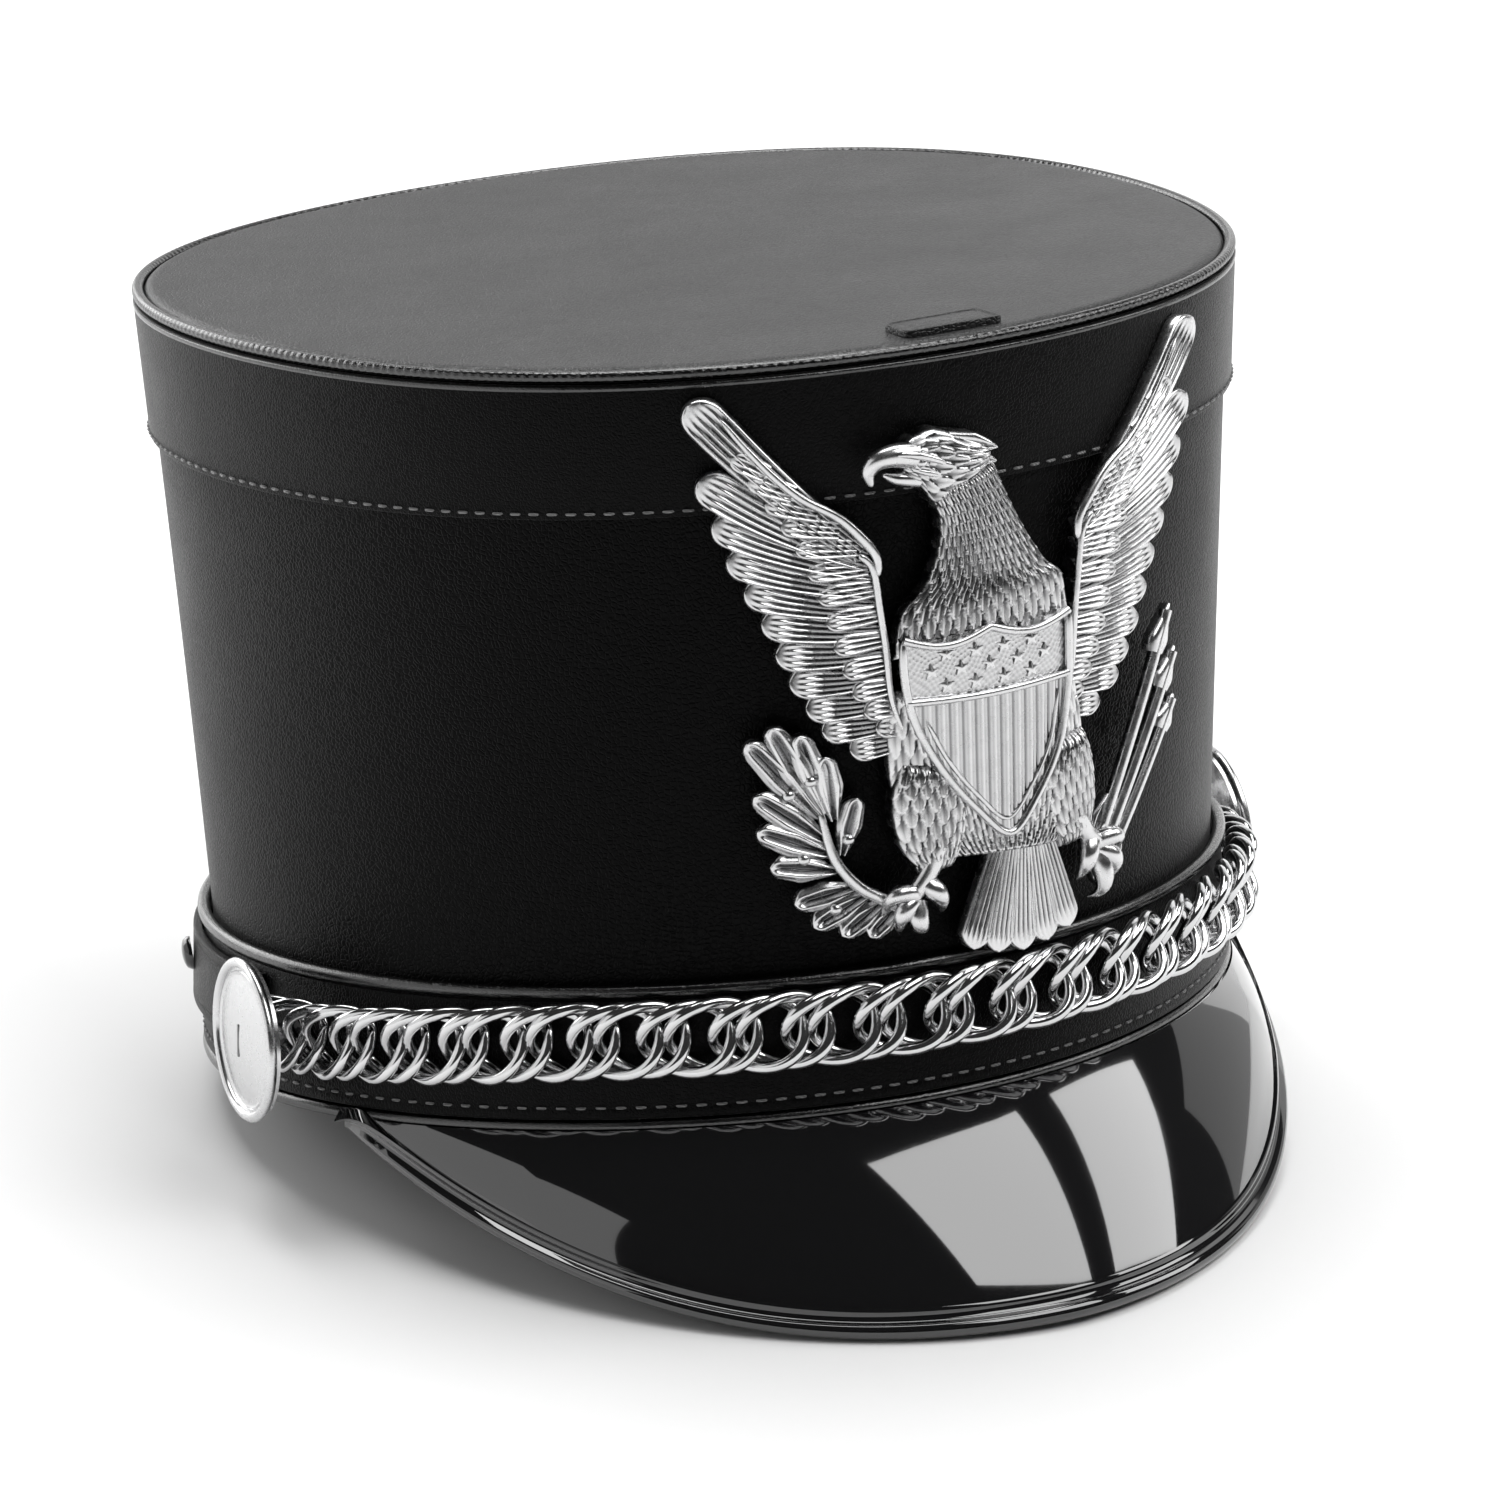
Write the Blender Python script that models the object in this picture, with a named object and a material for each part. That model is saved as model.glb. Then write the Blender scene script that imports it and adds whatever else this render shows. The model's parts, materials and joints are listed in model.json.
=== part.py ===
"""Marching band shako: a tall oval crown of black leather with a chain, a strap, a peak and an eagle badge.

The hat is shaped upright, its foot round the origin, +Z up, the front towards -Y. The outline of the
crown is a function of an angle and a height. The front is at -90 degrees. Every band, roll, strap and
badge reads that function with its own outset, so it follows the crown. At the end the hat is tipped
and raised by its stance, until the peak's edge and the back of the rim stand on one level surface.
"""
import math

import bmesh
import bpy
import numpy as np
from mathutils import Matrix

# Air left between pieces that touch
GAP = 0.0003

# Crown, measured on the outside of its wall
CROWN_HEIGHT = 0.137
FOOT_WIDTH = 0.172
FOOT_LENGTH = 0.192
TOP_WIDTH = 0.1874
TOP_LENGTH = 0.1962
FOOT_SHIFT = 0.0017
TOP_SHIFT = -0.0027
FOOT_SLOPE = math.radians(-6.4)
TOP_SLOPE = math.radians(-2.9)
TOP_EGG = 0.061
FOOT_NARROWING = 0.0021
TOP_SQUARENESS = 0.0036
WALL = 0.0018
WALL_FLARE = 0.0026
TOP_THICKNESS = 0.0019

# Bands, rolls and rim
TOP_BAND_DEPTH = 0.0259
TOP_BAND_THICKNESS = 0.001
TOP_WELT_RADIUS = 0.001
HEADBAND_TOP = 0.0242
HEADBAND_THICKNESS = 0.0014
HEADBAND_WELT_RADIUS = 0.0012
RIM_ROLL_RADIUS = 0.0012

# Tab over the plume socket
FLAP_WIDTH = 0.018
FLAP_DEPTH = 0.0085
FLAP_THICKNESS = 0.0012
FLAP_SETBACK = 0.0045
FLAP_CORNER = 0.0017

# Peak
PEAK_HALF_WIDTH = 0.0876
PEAK_REACH = 0.1073
PEAK_START = -0.0234
PEAK_START_HEIGHT = 0.0041
PEAK_PITCH = math.radians(12.0)
PEAK_SQUARENESS = 1.78
PEAK_SAG = 0.0044
PEAK_CAMBER = 0.002
PEAK_THICKNESS = 0.002
PEAK_BINDING_RADIUS = 0.0015
PEAK_JOIN_HEIGHT = 0.0008
PEAK_END_MARGIN = math.radians(10.8)
PEAK_CAMBER_LIMIT = 0.1
PEAK_CUT_LIMIT = 0.5

# Side buttons
BUTTON_RADIUS = 0.0142
BUTTON_RIM_RADIUS = 0.0009
BUTTON_THICKNESS = 0.0016
BUTTON_DOME = 0.0012
BUTTON_HEIGHT = 0.0146
LEFT_BUTTON_FORWARD = math.radians(10.0)
RIGHT_BUTTON_FORWARD = math.radians(6.0)
BUTTON_LEAN = math.radians(4.0)
LEFT_BUTTON_TURN = math.radians(14.0)
END_LINK_SHARE = 0.36
SHANK_RADIUS = 0.0021

# Chain of paired curb links
LINK_LENGTH = 0.0172
LINK_HEIGHT = 0.0138
LINK_WIRE_RADIUS = 0.0011
LINK_TWIST = 0.0017
LINK_STAGGER = 0.0006
LINK_PITCH = 0.0123
PAIR_SPACING = 0.0044
CHAIN_FRONT_HEIGHT = 0.0179
CHAIN_RISE_SHARE = 0.25

# Chin strap stowed round the back, with a stud on each side
STRAP_WIDTH = 0.013
STRAP_THICKNESS = 0.0016
STRAP_HEIGHT = 0.0165
STUD_RADIUS = 0.003
STUD_PROUD = 0.0019
STUD_HEIGHT = 0.0185
STUD_BACK = math.radians(20.0)

# Shares of radius and rise at the shoulder of a button's and a stud's dome
BUTTON_SHOULDER = (0.5, 0.75)
STUD_SHOULDER = (0.65, 0.88)
STUD_EDGE_SHARE = 0.45

# Badge
BADGE_SPAN = 0.095
BADGE_HEIGHT = 0.1075
BADGE_CHAIN_CLEARANCE = 0.0007
FEATHER_RELIEF = 0.0020
WING_ARM_RELIEF = 0.0027
NECK_RELIEF = 0.0046
SHIELD_RELIEF = 0.0053
BODY_RELIEF = 0.0038
LEG_RELIEF = 0.0032
TAIL_RELIEF = 0.0026
BRANCH_RELIEF = 0.0018
LEAF_RELIEF = 0.0024
ARROW_RELIEF = 0.0022
ALTERNATE_SHARE = 0.88
ARROW_STEP_SHARE = 0.1
BEVEL_SHARE = 0.16
BADGE_BEND_STEP = 0.011
BADGE_ARC = 1.2

# Facets
SIDES = 40
ROLL_SIDES = 5
ROLL_START = 0.3
PEAK_STEPS = 26
PEAK_ROWS = 4
LINK_SIDES = 10
WIRE_SIDES = 5
BUTTON_SIDES = 20
STUD_SIDES = 10
PATH_STEPS = 400
LINK_MERGE = 0.0002
LINK_THINNING = 0.8
BADGE_MERGE = 0.00002
BADGE_FLATNESS = math.radians(1)
SHARP_ANGLE = math.radians(40)

FRONT = -math.pi / 2

# Tips, roots and widths of the right wing's feathers, as shares of half the span and of the height
FEATHERS = [
    # tip across, tip up, root across, root up, width
    (0.96, 0.985, 0.45, 0.74, 0.150),
    (0.94, 0.860, 0.40, 0.69, 0.145),
    (0.90, 0.790, 0.38, 0.655, 0.145),
    (0.86, 0.730, 0.37, 0.62, 0.145),
    (0.81, 0.675, 0.36, 0.585, 0.145),
    (0.76, 0.620, 0.35, 0.55, 0.140),
    (0.72, 0.565, 0.34, 0.515, 0.140),
    (0.68, 0.515, 0.33, 0.48, 0.135),
    (0.63, 0.470, 0.32, 0.44, 0.130),
    (0.58, 0.430, 0.30, 0.41, 0.125),
    (0.49, 0.392, 0.25, 0.38, 0.110),
]

# Leaves of the olive branch, in the same shares
LEAVES = [
    # tip across, tip up, root across, root up, width
    (-0.83, 0.420, -0.67, 0.310, 0.100),
    (-0.75, 0.442, -0.66, 0.320, 0.090),
    (-0.66, 0.416, -0.64, 0.310, 0.090),
    (-0.58, 0.372, -0.62, 0.290, 0.090),
    (-0.815, 0.320, -0.62, 0.250, 0.095),
    (-0.805, 0.250, -0.60, 0.215, 0.095),
    (-0.745, 0.175, -0.54, 0.180, 0.095),
    (-0.70, 0.125, -0.50, 0.150, 0.090),
    (-0.60, 0.095, -0.44, 0.130, 0.090),
    (-0.46, 0.080, -0.36, 0.120, 0.085),
    (-0.45, 0.300, -0.55, 0.215, 0.090),
]

# Tail feathers, in the same shares
TAIL = [
    # tip across, tip up, root across, root up, width
    (-0.07, 0.020, 0.08, 0.215, 0.120),
    (0.03, 0.006, 0.11, 0.215, 0.120),
    (0.135, 0.000, 0.14, 0.215, 0.120),
    (0.24, 0.006, 0.17, 0.215, 0.120),
    (0.34, 0.020, 0.20, 0.215, 0.120),
]

# Arrows in the right claw, in the same shares
ARROWS = [
    # tip across, tip up, butt across, butt up
    (0.865, 0.500, 0.44, 0.115),
    (0.900, 0.450, 0.47, 0.105),
    (0.915, 0.395, 0.49, 0.085),
]

# Half widths of a lobe at stations from its root to its tip, as shares of its own sizes
FEATHER_FORM = [(0.0, 0.7), (0.8, 1.0), (0.95, 0.75), (1.0, 0.3)]
LEAF_FORM = [(0.0, 0.25), (0.45, 1.0), (0.8, 0.65), (1.0, 0.12)]
TAIL_FORM = [(0.0, 0.55), (0.9, 1.0), (1.0, 0.5)]

# Length of an arrow's head and half widths of its shaft and barbs, as shares of the span
ARROW_FORM = (0.062, 0.011, 0.024)

# Outlines of the badge's other parts, pairs of shares across and up
WING_ARM = [
    (0.86, 0.965), (0.78, 0.910), (0.695, 0.860), (0.61, 0.820), (0.49, 0.785), (0.41, 0.740),
    (0.37, 0.715), (0.37, 0.635), (0.34, 0.590), (0.33, 0.460), (0.26, 0.375), (0.44, 0.400),
    (0.53, 0.490), (0.59, 0.580), (0.64, 0.675), (0.70, 0.770), (0.78, 0.860), (0.87, 0.935),
]
NECK = [
    (-0.405, 0.850), (-0.375, 0.822), (-0.335, 0.838), (-0.240, 0.815), (-0.200, 0.790),
    (-0.165, 0.755), (-0.165, 0.710), (-0.195, 0.660), (-0.275, 0.613), (-0.345, 0.600),
    (-0.330, 0.545), (0.0, 0.530), (0.33, 0.550), (0.345, 0.625), (0.255, 0.645), (0.185, 0.685),
    (0.110, 0.745), (0.067, 0.790), (0.020, 0.836), (0.025, 0.858), (-0.085, 0.880),
    (-0.175, 0.905), (-0.265, 0.890), (-0.365, 0.884),
]
SHIELD = [
    (-0.315, 0.567), (-0.170, 0.550), (-0.015, 0.565), (0.137, 0.550), (0.290, 0.570),
    (0.290, 0.450), (0.250, 0.348), (0.158, 0.269), (0.055, 0.216), (-0.075, 0.269),
    (-0.195, 0.343), (-0.280, 0.427),
]
BODY = [
    (-0.350, 0.480), (-0.355, 0.300), (-0.290, 0.230), (-0.170, 0.185), (0.0, 0.160),
    (0.270, 0.160), (0.370, 0.210), (0.410, 0.290), (0.390, 0.370), (0.350, 0.480),
]
LEFT_LEG = [
    (-0.160, 0.220), (-0.230, 0.170), (-0.340, 0.150), (-0.360, 0.110), (-0.300, 0.080),
    (-0.220, 0.100), (-0.160, 0.130), (-0.060, 0.170),
]
RIGHT_LEG = [
    (0.300, 0.220), (0.360, 0.180), (0.420, 0.170), (0.490, 0.160), (0.530, 0.130),
    (0.500, 0.085), (0.440, 0.062), (0.410, 0.110), (0.330, 0.140), (0.230, 0.180),
]
STEM = [
    (-0.320, 0.120), (-0.500, 0.180), (-0.590, 0.240), (-0.640, 0.330),
    (-0.670, 0.325), (-0.620, 0.225), (-0.520, 0.155), (-0.330, 0.095),
]


def clear_scene():
    """Remove whatever the file holds."""
    for thing in list(bpy.data.objects):
        bpy.data.objects.remove(thing, do_unlink=True)


def make_material(name, colour, roughness, metallic=0.0, coat=0.0):
    """A Principled material of one colour."""
    material = bpy.data.materials.new(name)
    material.use_nodes = True
    shader = material.node_tree.nodes["Principled BSDF"]
    shader.inputs["Base Color"].default_value = (*colour, 1.0)
    shader.inputs["Roughness"].default_value = roughness
    shader.inputs["Metallic"].default_value = metallic
    shader.inputs["Coat Weight"].default_value = coat
    material.diffuse_color = (*colour, 1.0)
    return material


def blend(start, end, share):
    """The value at a share of the way from start to end."""
    return start + (end - start) * share


def outline(angle, height, outset=0.0):
    """Points of the crown's oval at angles and heights, moved out by an outset.

    The half width and half length run straight from the foot to the top. A third harmonic makes
    the foot slimmer and the top squarer, and an egg factor widens the top behind.
    """
    angle, height = np.broadcast_arrays(np.asarray(angle, float), np.asarray(height, float))
    share = height / CROWN_HEIGHT
    half_width = blend(FOOT_WIDTH, TOP_WIDTH, share) / 2 + outset
    half_length = blend(FOOT_LENGTH, TOP_LENGTH, share) / 2 + outset
    harmonic = blend(FOOT_NARROWING, -TOP_SQUARENESS, share)
    across = half_width * np.cos(angle) * (1 + TOP_EGG * share * np.sin(angle))
    across = across + harmonic * np.cos(3 * angle)
    along = half_length * np.sin(angle) + blend(FOOT_SHIFT, TOP_SHIFT, share)
    slope = blend(FOOT_SLOPE, TOP_SLOPE, share)
    return np.stack([across, along, height + np.tan(slope) * along], axis=-1)


def flare(height):
    """How far the foot of the wall spreads beyond the straight oval at a height."""
    return WALL_FLARE * np.clip(1 - np.asarray(height, float) / HEADBAND_TOP, 0, None)


def headband_face(height):
    """Outset of the headband's outer face at a height."""
    return flare(height) + GAP + HEADBAND_THICKNESS


def finish(bm, name, material, stance):
    """Turn the faces of a closed mesh outwards, shade it and make it the node's object."""
    bmesh.ops.recalc_face_normals(bm, faces=bm.faces)
    if bm.calc_volume(signed=True) < 0:
        bmesh.ops.reverse_faces(bm, faces=bm.faces)
    mesh = bpy.data.meshes.new(name)
    bm.to_mesh(mesh)
    bm.free()
    mesh.shade_smooth()
    mesh.set_sharp_from_angle(angle=SHARP_ANGLE)
    mesh.materials.append(material)
    piece = bpy.data.objects.new(name, mesh)
    bpy.context.scene.collection.objects.link(piece)
    piece.parent = stance
    return piece


def add_grid(bm, grid, close_rows, close_columns):
    """Add a grid of points as quads, joined end to end in the directions that close."""
    rows, columns = grid.shape[:2]
    verts = [[bm.verts.new(point) for point in row] for row in grid]
    for i in range(rows if close_rows else rows - 1):
        for j in range(columns if close_columns else columns - 1):
            following, beside = (i + 1) % rows, (j + 1) % columns
            bm.faces.new((verts[i][j], verts[following][j], verts[following][beside], verts[i][beside]))
    return verts


def ring(name, profile, material, stance):
    """Sweep a closed profile of heights and outsets once round the crown."""
    angles = FRONT + np.arange(SIDES) * 2 * math.pi / SIDES
    heights, outsets = np.array(profile).T
    bm = bmesh.new()
    add_grid(bm, outline(angles[:, None], heights, outsets), True, True)
    return finish(bm, name, material, stance)


def roll_profile(height, outset, radius):
    """A round profile of ROLL_SIDES corners about a height and an outset."""
    turns = ROLL_START + np.arange(ROLL_SIDES) * 2 * math.pi / ROLL_SIDES
    return np.stack([height + radius * np.sin(turns), outset + radius * np.cos(turns)], axis=1)


def slab_ring(bm, bottom, top):
    """Close two loops of points into a flat-ended solid."""
    verts = add_grid(bm, np.stack([bottom, top], axis=1), True, False)
    bm.faces.new([pair[0] for pair in verts])
    bm.faces.new([pair[1] for pair in verts])


def tube(bm, path, radius, sides):
    """Carry a round section along an open path and cap both ends."""
    tangents = np.gradient(path, axis=0)
    tangents /= np.linalg.norm(tangents, axis=1, keepdims=True)
    first = np.cross(tangents, (0.0, 0.0, 1.0))
    first /= np.linalg.norm(first, axis=1, keepdims=True)
    second = np.cross(tangents, first)
    turns = (np.arange(sides) * 2 * math.pi / sides)[:, None]
    offsets = np.cos(turns) * first[:, None, :] + np.sin(turns) * second[:, None, :]
    verts = add_grid(bm, path[:, None, :] + radius * offsets, False, True)
    bm.faces.new(verts[0])
    bm.faces.new(verts[-1])


def crown_wall(material, stance):
    """The tapered wall, open at both ends, its foot spread inside the headband."""
    foot = 2 * RIM_ROLL_RADIUS + GAP
    seam = CROWN_HEIGHT - TOP_BAND_DEPTH
    top = CROWN_HEIGHT - TOP_THICKNESS - GAP
    heights = [foot, HEADBAND_TOP, seam, top]
    profile = [(height, flare(height)) for height in heights]
    profile += [(height, flare(height) - WALL) for height in reversed(heights)]
    return ring("crown_wall", profile, material, stance)


def crown_top(material, stance):
    """The flat oval disc that lies on the wall inside the top welt."""
    angles = FRONT + np.arange(SIDES) * 2 * math.pi / SIDES
    edge = top_welt_outset() - TOP_WELT_RADIUS - GAP
    under = outline(angles, CROWN_HEIGHT - TOP_THICKNESS, edge)
    bm = bmesh.new()
    slab_ring(bm, under, outline(angles, CROWN_HEIGHT, edge))
    return finish(bm, "crown_top", material, stance)


def top_welt_outset():
    """The top welt's middle, flush outside with the top band."""
    return GAP + TOP_BAND_THICKNESS - TOP_WELT_RADIUS


def top_welt(material, stance):
    """The roll of leather round the edge of the top."""
    profile = roll_profile(CROWN_HEIGHT - TOP_WELT_RADIUS, top_welt_outset(), TOP_WELT_RADIUS)
    return ring("top_welt", profile, material, stance)


def top_band(material, stance):
    """The leather band round the upper part of the crown."""
    upper = CROWN_HEIGHT - 2 * TOP_WELT_RADIUS - GAP
    lower = CROWN_HEIGHT - TOP_BAND_DEPTH
    face = GAP + TOP_BAND_THICKNESS
    profile = [(lower, GAP), (lower, face), (upper, face), (upper, GAP)]
    return ring("top_band", profile, material, stance)


def headband(material, stance):
    """The leather band round the foot of the crown."""
    lower = 2 * RIM_ROLL_RADIUS + GAP
    profile = [
        (lower, flare(lower) + GAP), (lower, headband_face(lower)),
        (HEADBAND_TOP, headband_face(HEADBAND_TOP)), (HEADBAND_TOP, GAP),
    ]
    return ring("headband", profile, material, stance)


def headband_welt(material, stance):
    """The roll along the headband's upper edge."""
    height = HEADBAND_TOP + GAP + HEADBAND_WELT_RADIUS
    profile = roll_profile(height, GAP + HEADBAND_WELT_RADIUS, HEADBAND_WELT_RADIUS)
    return ring("headband_welt", profile, material, stance)


def rim_outset():
    """The rim roll's middle, flush outside with the headband's foot."""
    return headband_face(0.0) - RIM_ROLL_RADIUS


def rim_binding(material, stance):
    """The bound rim under the wall and the headband, flat beneath."""
    radius = RIM_ROLL_RADIUS
    middle = rim_outset()
    inner = flare(0.0) - WALL
    profile = [
        (0.0, inner + radius / 2), (0.0, middle + radius / 2), (radius, middle + radius),
        (2 * radius, middle + radius / 2), (2 * radius, inner), (radius / 2, inner),
    ]
    return ring("rim_binding", profile, material, stance)


def plume_flap(material, stance):
    """The small leather tab on the top, behind the front of the welt."""
    front = outline(FRONT, CROWN_HEIGHT, top_welt_outset())[1] + FLAP_SETBACK
    corner = FLAP_CORNER
    half = FLAP_WIDTH / 2
    right_side = [
        (half - corner, 0), (half, corner), (half, FLAP_DEPTH - corner), (half - corner, FLAP_DEPTH),
    ]
    plan = np.array(right_side + [(-across, back) for across, back in reversed(right_side)])
    along = front + plan[:, 1]
    level = CROWN_HEIGHT + np.tan(TOP_SLOPE) * along
    under = np.stack([plan[:, 0], along, level + GAP], axis=1)
    bm = bmesh.new()
    slab_ring(bm, under, under + (0.0, 0.0, FLAP_THICKNESS))
    return finish(bm, "plume_flap", material, stance)


def peak_edge(turn, inset=0.0):
    """The peak's outer edge: a sloping superellipse whose quarters sag."""
    power = 2 / PEAK_SQUARENESS
    across = -(PEAK_HALF_WIDTH - inset) * np.sign(np.cos(turn)) * np.abs(np.cos(turn)) ** power
    reach = (PEAK_REACH - inset) * np.abs(np.sin(turn)) ** power
    along = PEAK_START - reach * math.cos(PEAK_PITCH)
    height = PEAK_START_HEIGHT - reach * math.sin(PEAK_PITCH) - PEAK_SAG * np.sin(2 * turn) ** 2
    return np.stack([across, along, height], axis=-1)


def peak_join(turn):
    """The line on the rim that the peak is sewn to, from side to side round the front."""
    half_length = FOOT_LENGTH / 2 + headband_face(0.0)
    side = math.asin((FOOT_SHIFT - PEAK_START) / half_length)
    angle = blend(-math.pi + side, -side, turn / math.pi)
    return outline(angle, PEAK_JOIN_HEIGHT, headband_face(0.0) + GAP)


def peak_turns():
    """Steps along the peak, without the slivers at its two ends."""
    return np.linspace(PEAK_END_MARGIN, math.pi - PEAK_END_MARGIN, PEAK_STEPS)


def peak(material, stance):
    """The peak: a cambered sheet from the rim to its binding, thickened inwards."""
    turn = peak_turns()
    inner, outer = peak_join(turn), peak_edge(turn, PEAK_BINDING_RADIUS)
    width = np.linalg.norm(outer - inner, axis=1, keepdims=True)
    outer = outer - (outer - inner) / width * (PEAK_BINDING_RADIUS + GAP)
    rows = np.linspace(0, 1, PEAK_ROWS)[None, :, None]
    face = inner[:, None] * (1 - rows) + outer[:, None] * rows
    normal = np.cross(np.gradient(face, axis=0), np.gradient(face, axis=1))
    normal /= np.linalg.norm(normal, axis=2, keepdims=True)
    normal *= np.sign(normal[..., 2:].mean())
    bulge = np.minimum(PEAK_CAMBER, PEAK_CAMBER_LIMIT * width)[:, None]
    face = face + 4 * rows * (1 - rows) * bulge * normal
    sink = PEAK_THICKNESS * normal
    sink[:, 0] = np.array((0.0, 0.0, PEAK_THICKNESS)) / np.maximum(normal[:, 0, 2:], PEAK_CUT_LIMIT)
    bm = bmesh.new()
    section = np.concatenate([face, (face - sink)[:, ::-1]], axis=1)
    verts = add_grid(bm, section, False, True)
    bm.faces.new(verts[0])
    bm.faces.new(verts[-1])
    return finish(bm, "peak", material, stance)


def peak_binding(material, stance):
    """The rolled binding along the peak's edge."""
    bm = bmesh.new()
    tube(bm, peak_edge(peak_turns(), PEAK_BINDING_RADIUS), PEAK_BINDING_RADIUS, WIRE_SIDES + 1)
    return finish(bm, "peak_binding", material, stance)


def side_angle(side, forward):
    """The angle on the crown's left (-1) or right (+1) side, moved forward by an angle."""
    return -forward if side > 0 else -math.pi + forward


def button_angle(side):
    """The angle at which the left (-1) or right (+1) button's shank stands."""
    return side_angle(side, RIGHT_BUTTON_FORWARD if side > 0 else LEFT_BUTTON_FORWARD)


def chain_proud():
    """How far the chain's outermost points stand off the headband."""
    return 2 * (LINK_TWIST + LINK_WIRE_RADIUS) + LINK_STAGGER + GAP


def chain_frames():
    """Distances along the chain's route with points and outward normals there.

    The route runs from one button's middle round the front to the other's, and rises from the
    buttons' height to the front's.
    """
    angle = np.linspace(button_angle(-1), button_angle(1), PATH_STEPS)
    share = np.linspace(0, 1, PATH_STEPS)
    rise = np.clip(np.minimum(share, 1 - share) / CHAIN_RISE_SHARE, 0, 1)
    height = blend(BUTTON_HEIGHT, CHAIN_FRONT_HEIGHT, rise * rise * (3 - 2 * rise))
    points = outline(angle, height, headband_face(height) + GAP + LINK_TWIST + LINK_WIRE_RADIUS)
    tangents = np.gradient(points, axis=0)
    distance = np.concatenate([[0], np.cumsum(np.linalg.norm(np.diff(points, axis=0), axis=1))])
    normals = np.cross(tangents, (0.0, 0.0, 1.0))
    normals /= np.linalg.norm(normals, axis=1, keepdims=True)
    return distance, points, normals


def bend_to_chain(flat):
    """Carry points given by distance, rise and stand-off onto the chain's route."""
    distance, points, normals = chain_frames()
    at = [np.interp(flat[:, 0], distance, points[:, i]) for i in range(3)]
    out = [np.interp(flat[:, 0], distance, normals[:, i]) for i in range(3)]
    place, normal = np.stack(at, axis=1), np.stack(out, axis=1)
    before = np.minimum(flat[:, 0], 0) + np.maximum(flat[:, 0] - distance[-1], 0)
    tangent = np.cross((0.0, 0.0, 1.0), normal)
    rise = flat[:, 1:2] * np.array((0.0, 0.0, 1.0))
    return place + tangent * before[:, None] + rise + flat[:, 2:3] * normal


def add_link(bm, middle, proud):
    """One curb link about a middle: an oval wire ring whose quarters lean in and out."""
    turn = np.arange(LINK_SIDES) * 2 * math.pi / LINK_SIDES
    half_length = LINK_LENGTH / 2 - LINK_WIRE_RADIUS
    half_height = LINK_HEIGHT / 2 - LINK_WIRE_RADIUS
    loop = np.stack([
        middle + half_length * np.cos(turn),
        half_height * np.sin(turn),
        proud - LINK_TWIST * np.sin(2 * turn),
    ], axis=1)
    tangent = np.roll(loop, -1, axis=0) - np.roll(loop, 1, axis=0)
    first = np.cross(tangent, (0.0, 0.0, 1.0))
    first /= np.linalg.norm(first, axis=1, keepdims=True)
    second = np.cross(tangent, first)
    second /= np.linalg.norm(second, axis=1, keepdims=True)
    spin = (np.arange(WIRE_SIDES) * 2 * math.pi / WIRE_SIDES)[:, None]
    wire = np.cos(spin) * first[:, None, :] + np.sin(spin) * second[:, None, :]
    add_grid(bm, loop[:, None, :] + LINK_WIRE_RADIUS * wire, True, True)


def link_set(name, middles, proud):
    """A guide with one link at each middle, hidden from the model."""
    bm = bmesh.new()
    for middle in middles:
        add_link(bm, middle, proud)
    return scratch_object(bm, name)


def scratch_object(bm, name):
    """A guide that is hidden from the model."""
    bmesh.ops.recalc_face_normals(bm, faces=bm.faces)
    mesh = bpy.data.meshes.new(name)
    bm.to_mesh(mesh)
    bm.free()
    guide = bpy.data.objects.new(name, mesh)
    guide.hide_render = True
    guide.display_type = "WIRE"
    bpy.context.scene.collection.objects.link(guide)
    return guide


def evaluated(guides):
    """The first guide's mesh with its modifiers applied, and all the guides removed."""
    graph = bpy.context.evaluated_depsgraph_get()
    bm = bmesh.new()
    bm.from_mesh(guides[0].evaluated_get(graph).to_mesh())
    for guide in guides:
        bpy.data.objects.remove(guide, do_unlink=True)
    return bm


def fused(base, others):
    """The union of the base with each other guide."""
    for other in others:
        union = base.modifiers.new("join", "BOOLEAN")
        union.operation = "UNION"
        union.solver = "EXACT"
        union.object = other
    return evaluated([base, *others])


def thinned(bm, ratio):
    """The same body with its flattest faces merged, down to a ratio of them."""
    guide = scratch_object(bm, "thinned_body")
    thin = guide.modifiers.new("thin", "DECIMATE")
    thin.ratio = ratio
    return evaluated([guide])


def pair_starts():
    """Middles of each pair's first link, so that a shank stands between the wires at each end.

    The first link overhangs the shank by the amount that leaves the second link's wire and the
    following pair's wire equally far from it.
    """
    length = chain_frames()[0][-1]
    steps = max(2, round(length / LINK_PITCH))
    centred = LINK_LENGTH / 2 - LINK_WIRE_RADIUS - PAIR_SPACING / 2
    first = (centred - (length - PAIR_SPACING) / (2 * steps)) / (1 - 1 / steps)
    return np.linspace(first, length - first - PAIR_SPACING, steps + 1)


def chain(material, stance):
    """The chain across the front: interlocked pairs of links, fused where they press together."""
    starts = pair_starts()
    front = link_set("front_links", starts, LINK_STAGGER)
    back = link_set("back_links", starts + PAIR_SPACING, 0.0)
    bm = fused(front, [back])
    bmesh.ops.remove_doubles(bm, verts=bm.verts, dist=LINK_MERGE)
    bm = thinned(bm, LINK_THINNING)
    flat = np.array([vert.co for vert in bm.verts])
    for vert, place in zip(bm.verts, bend_to_chain(flat)):
        vert.co = place
    return finish(bm, "chain", material, stance)


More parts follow.
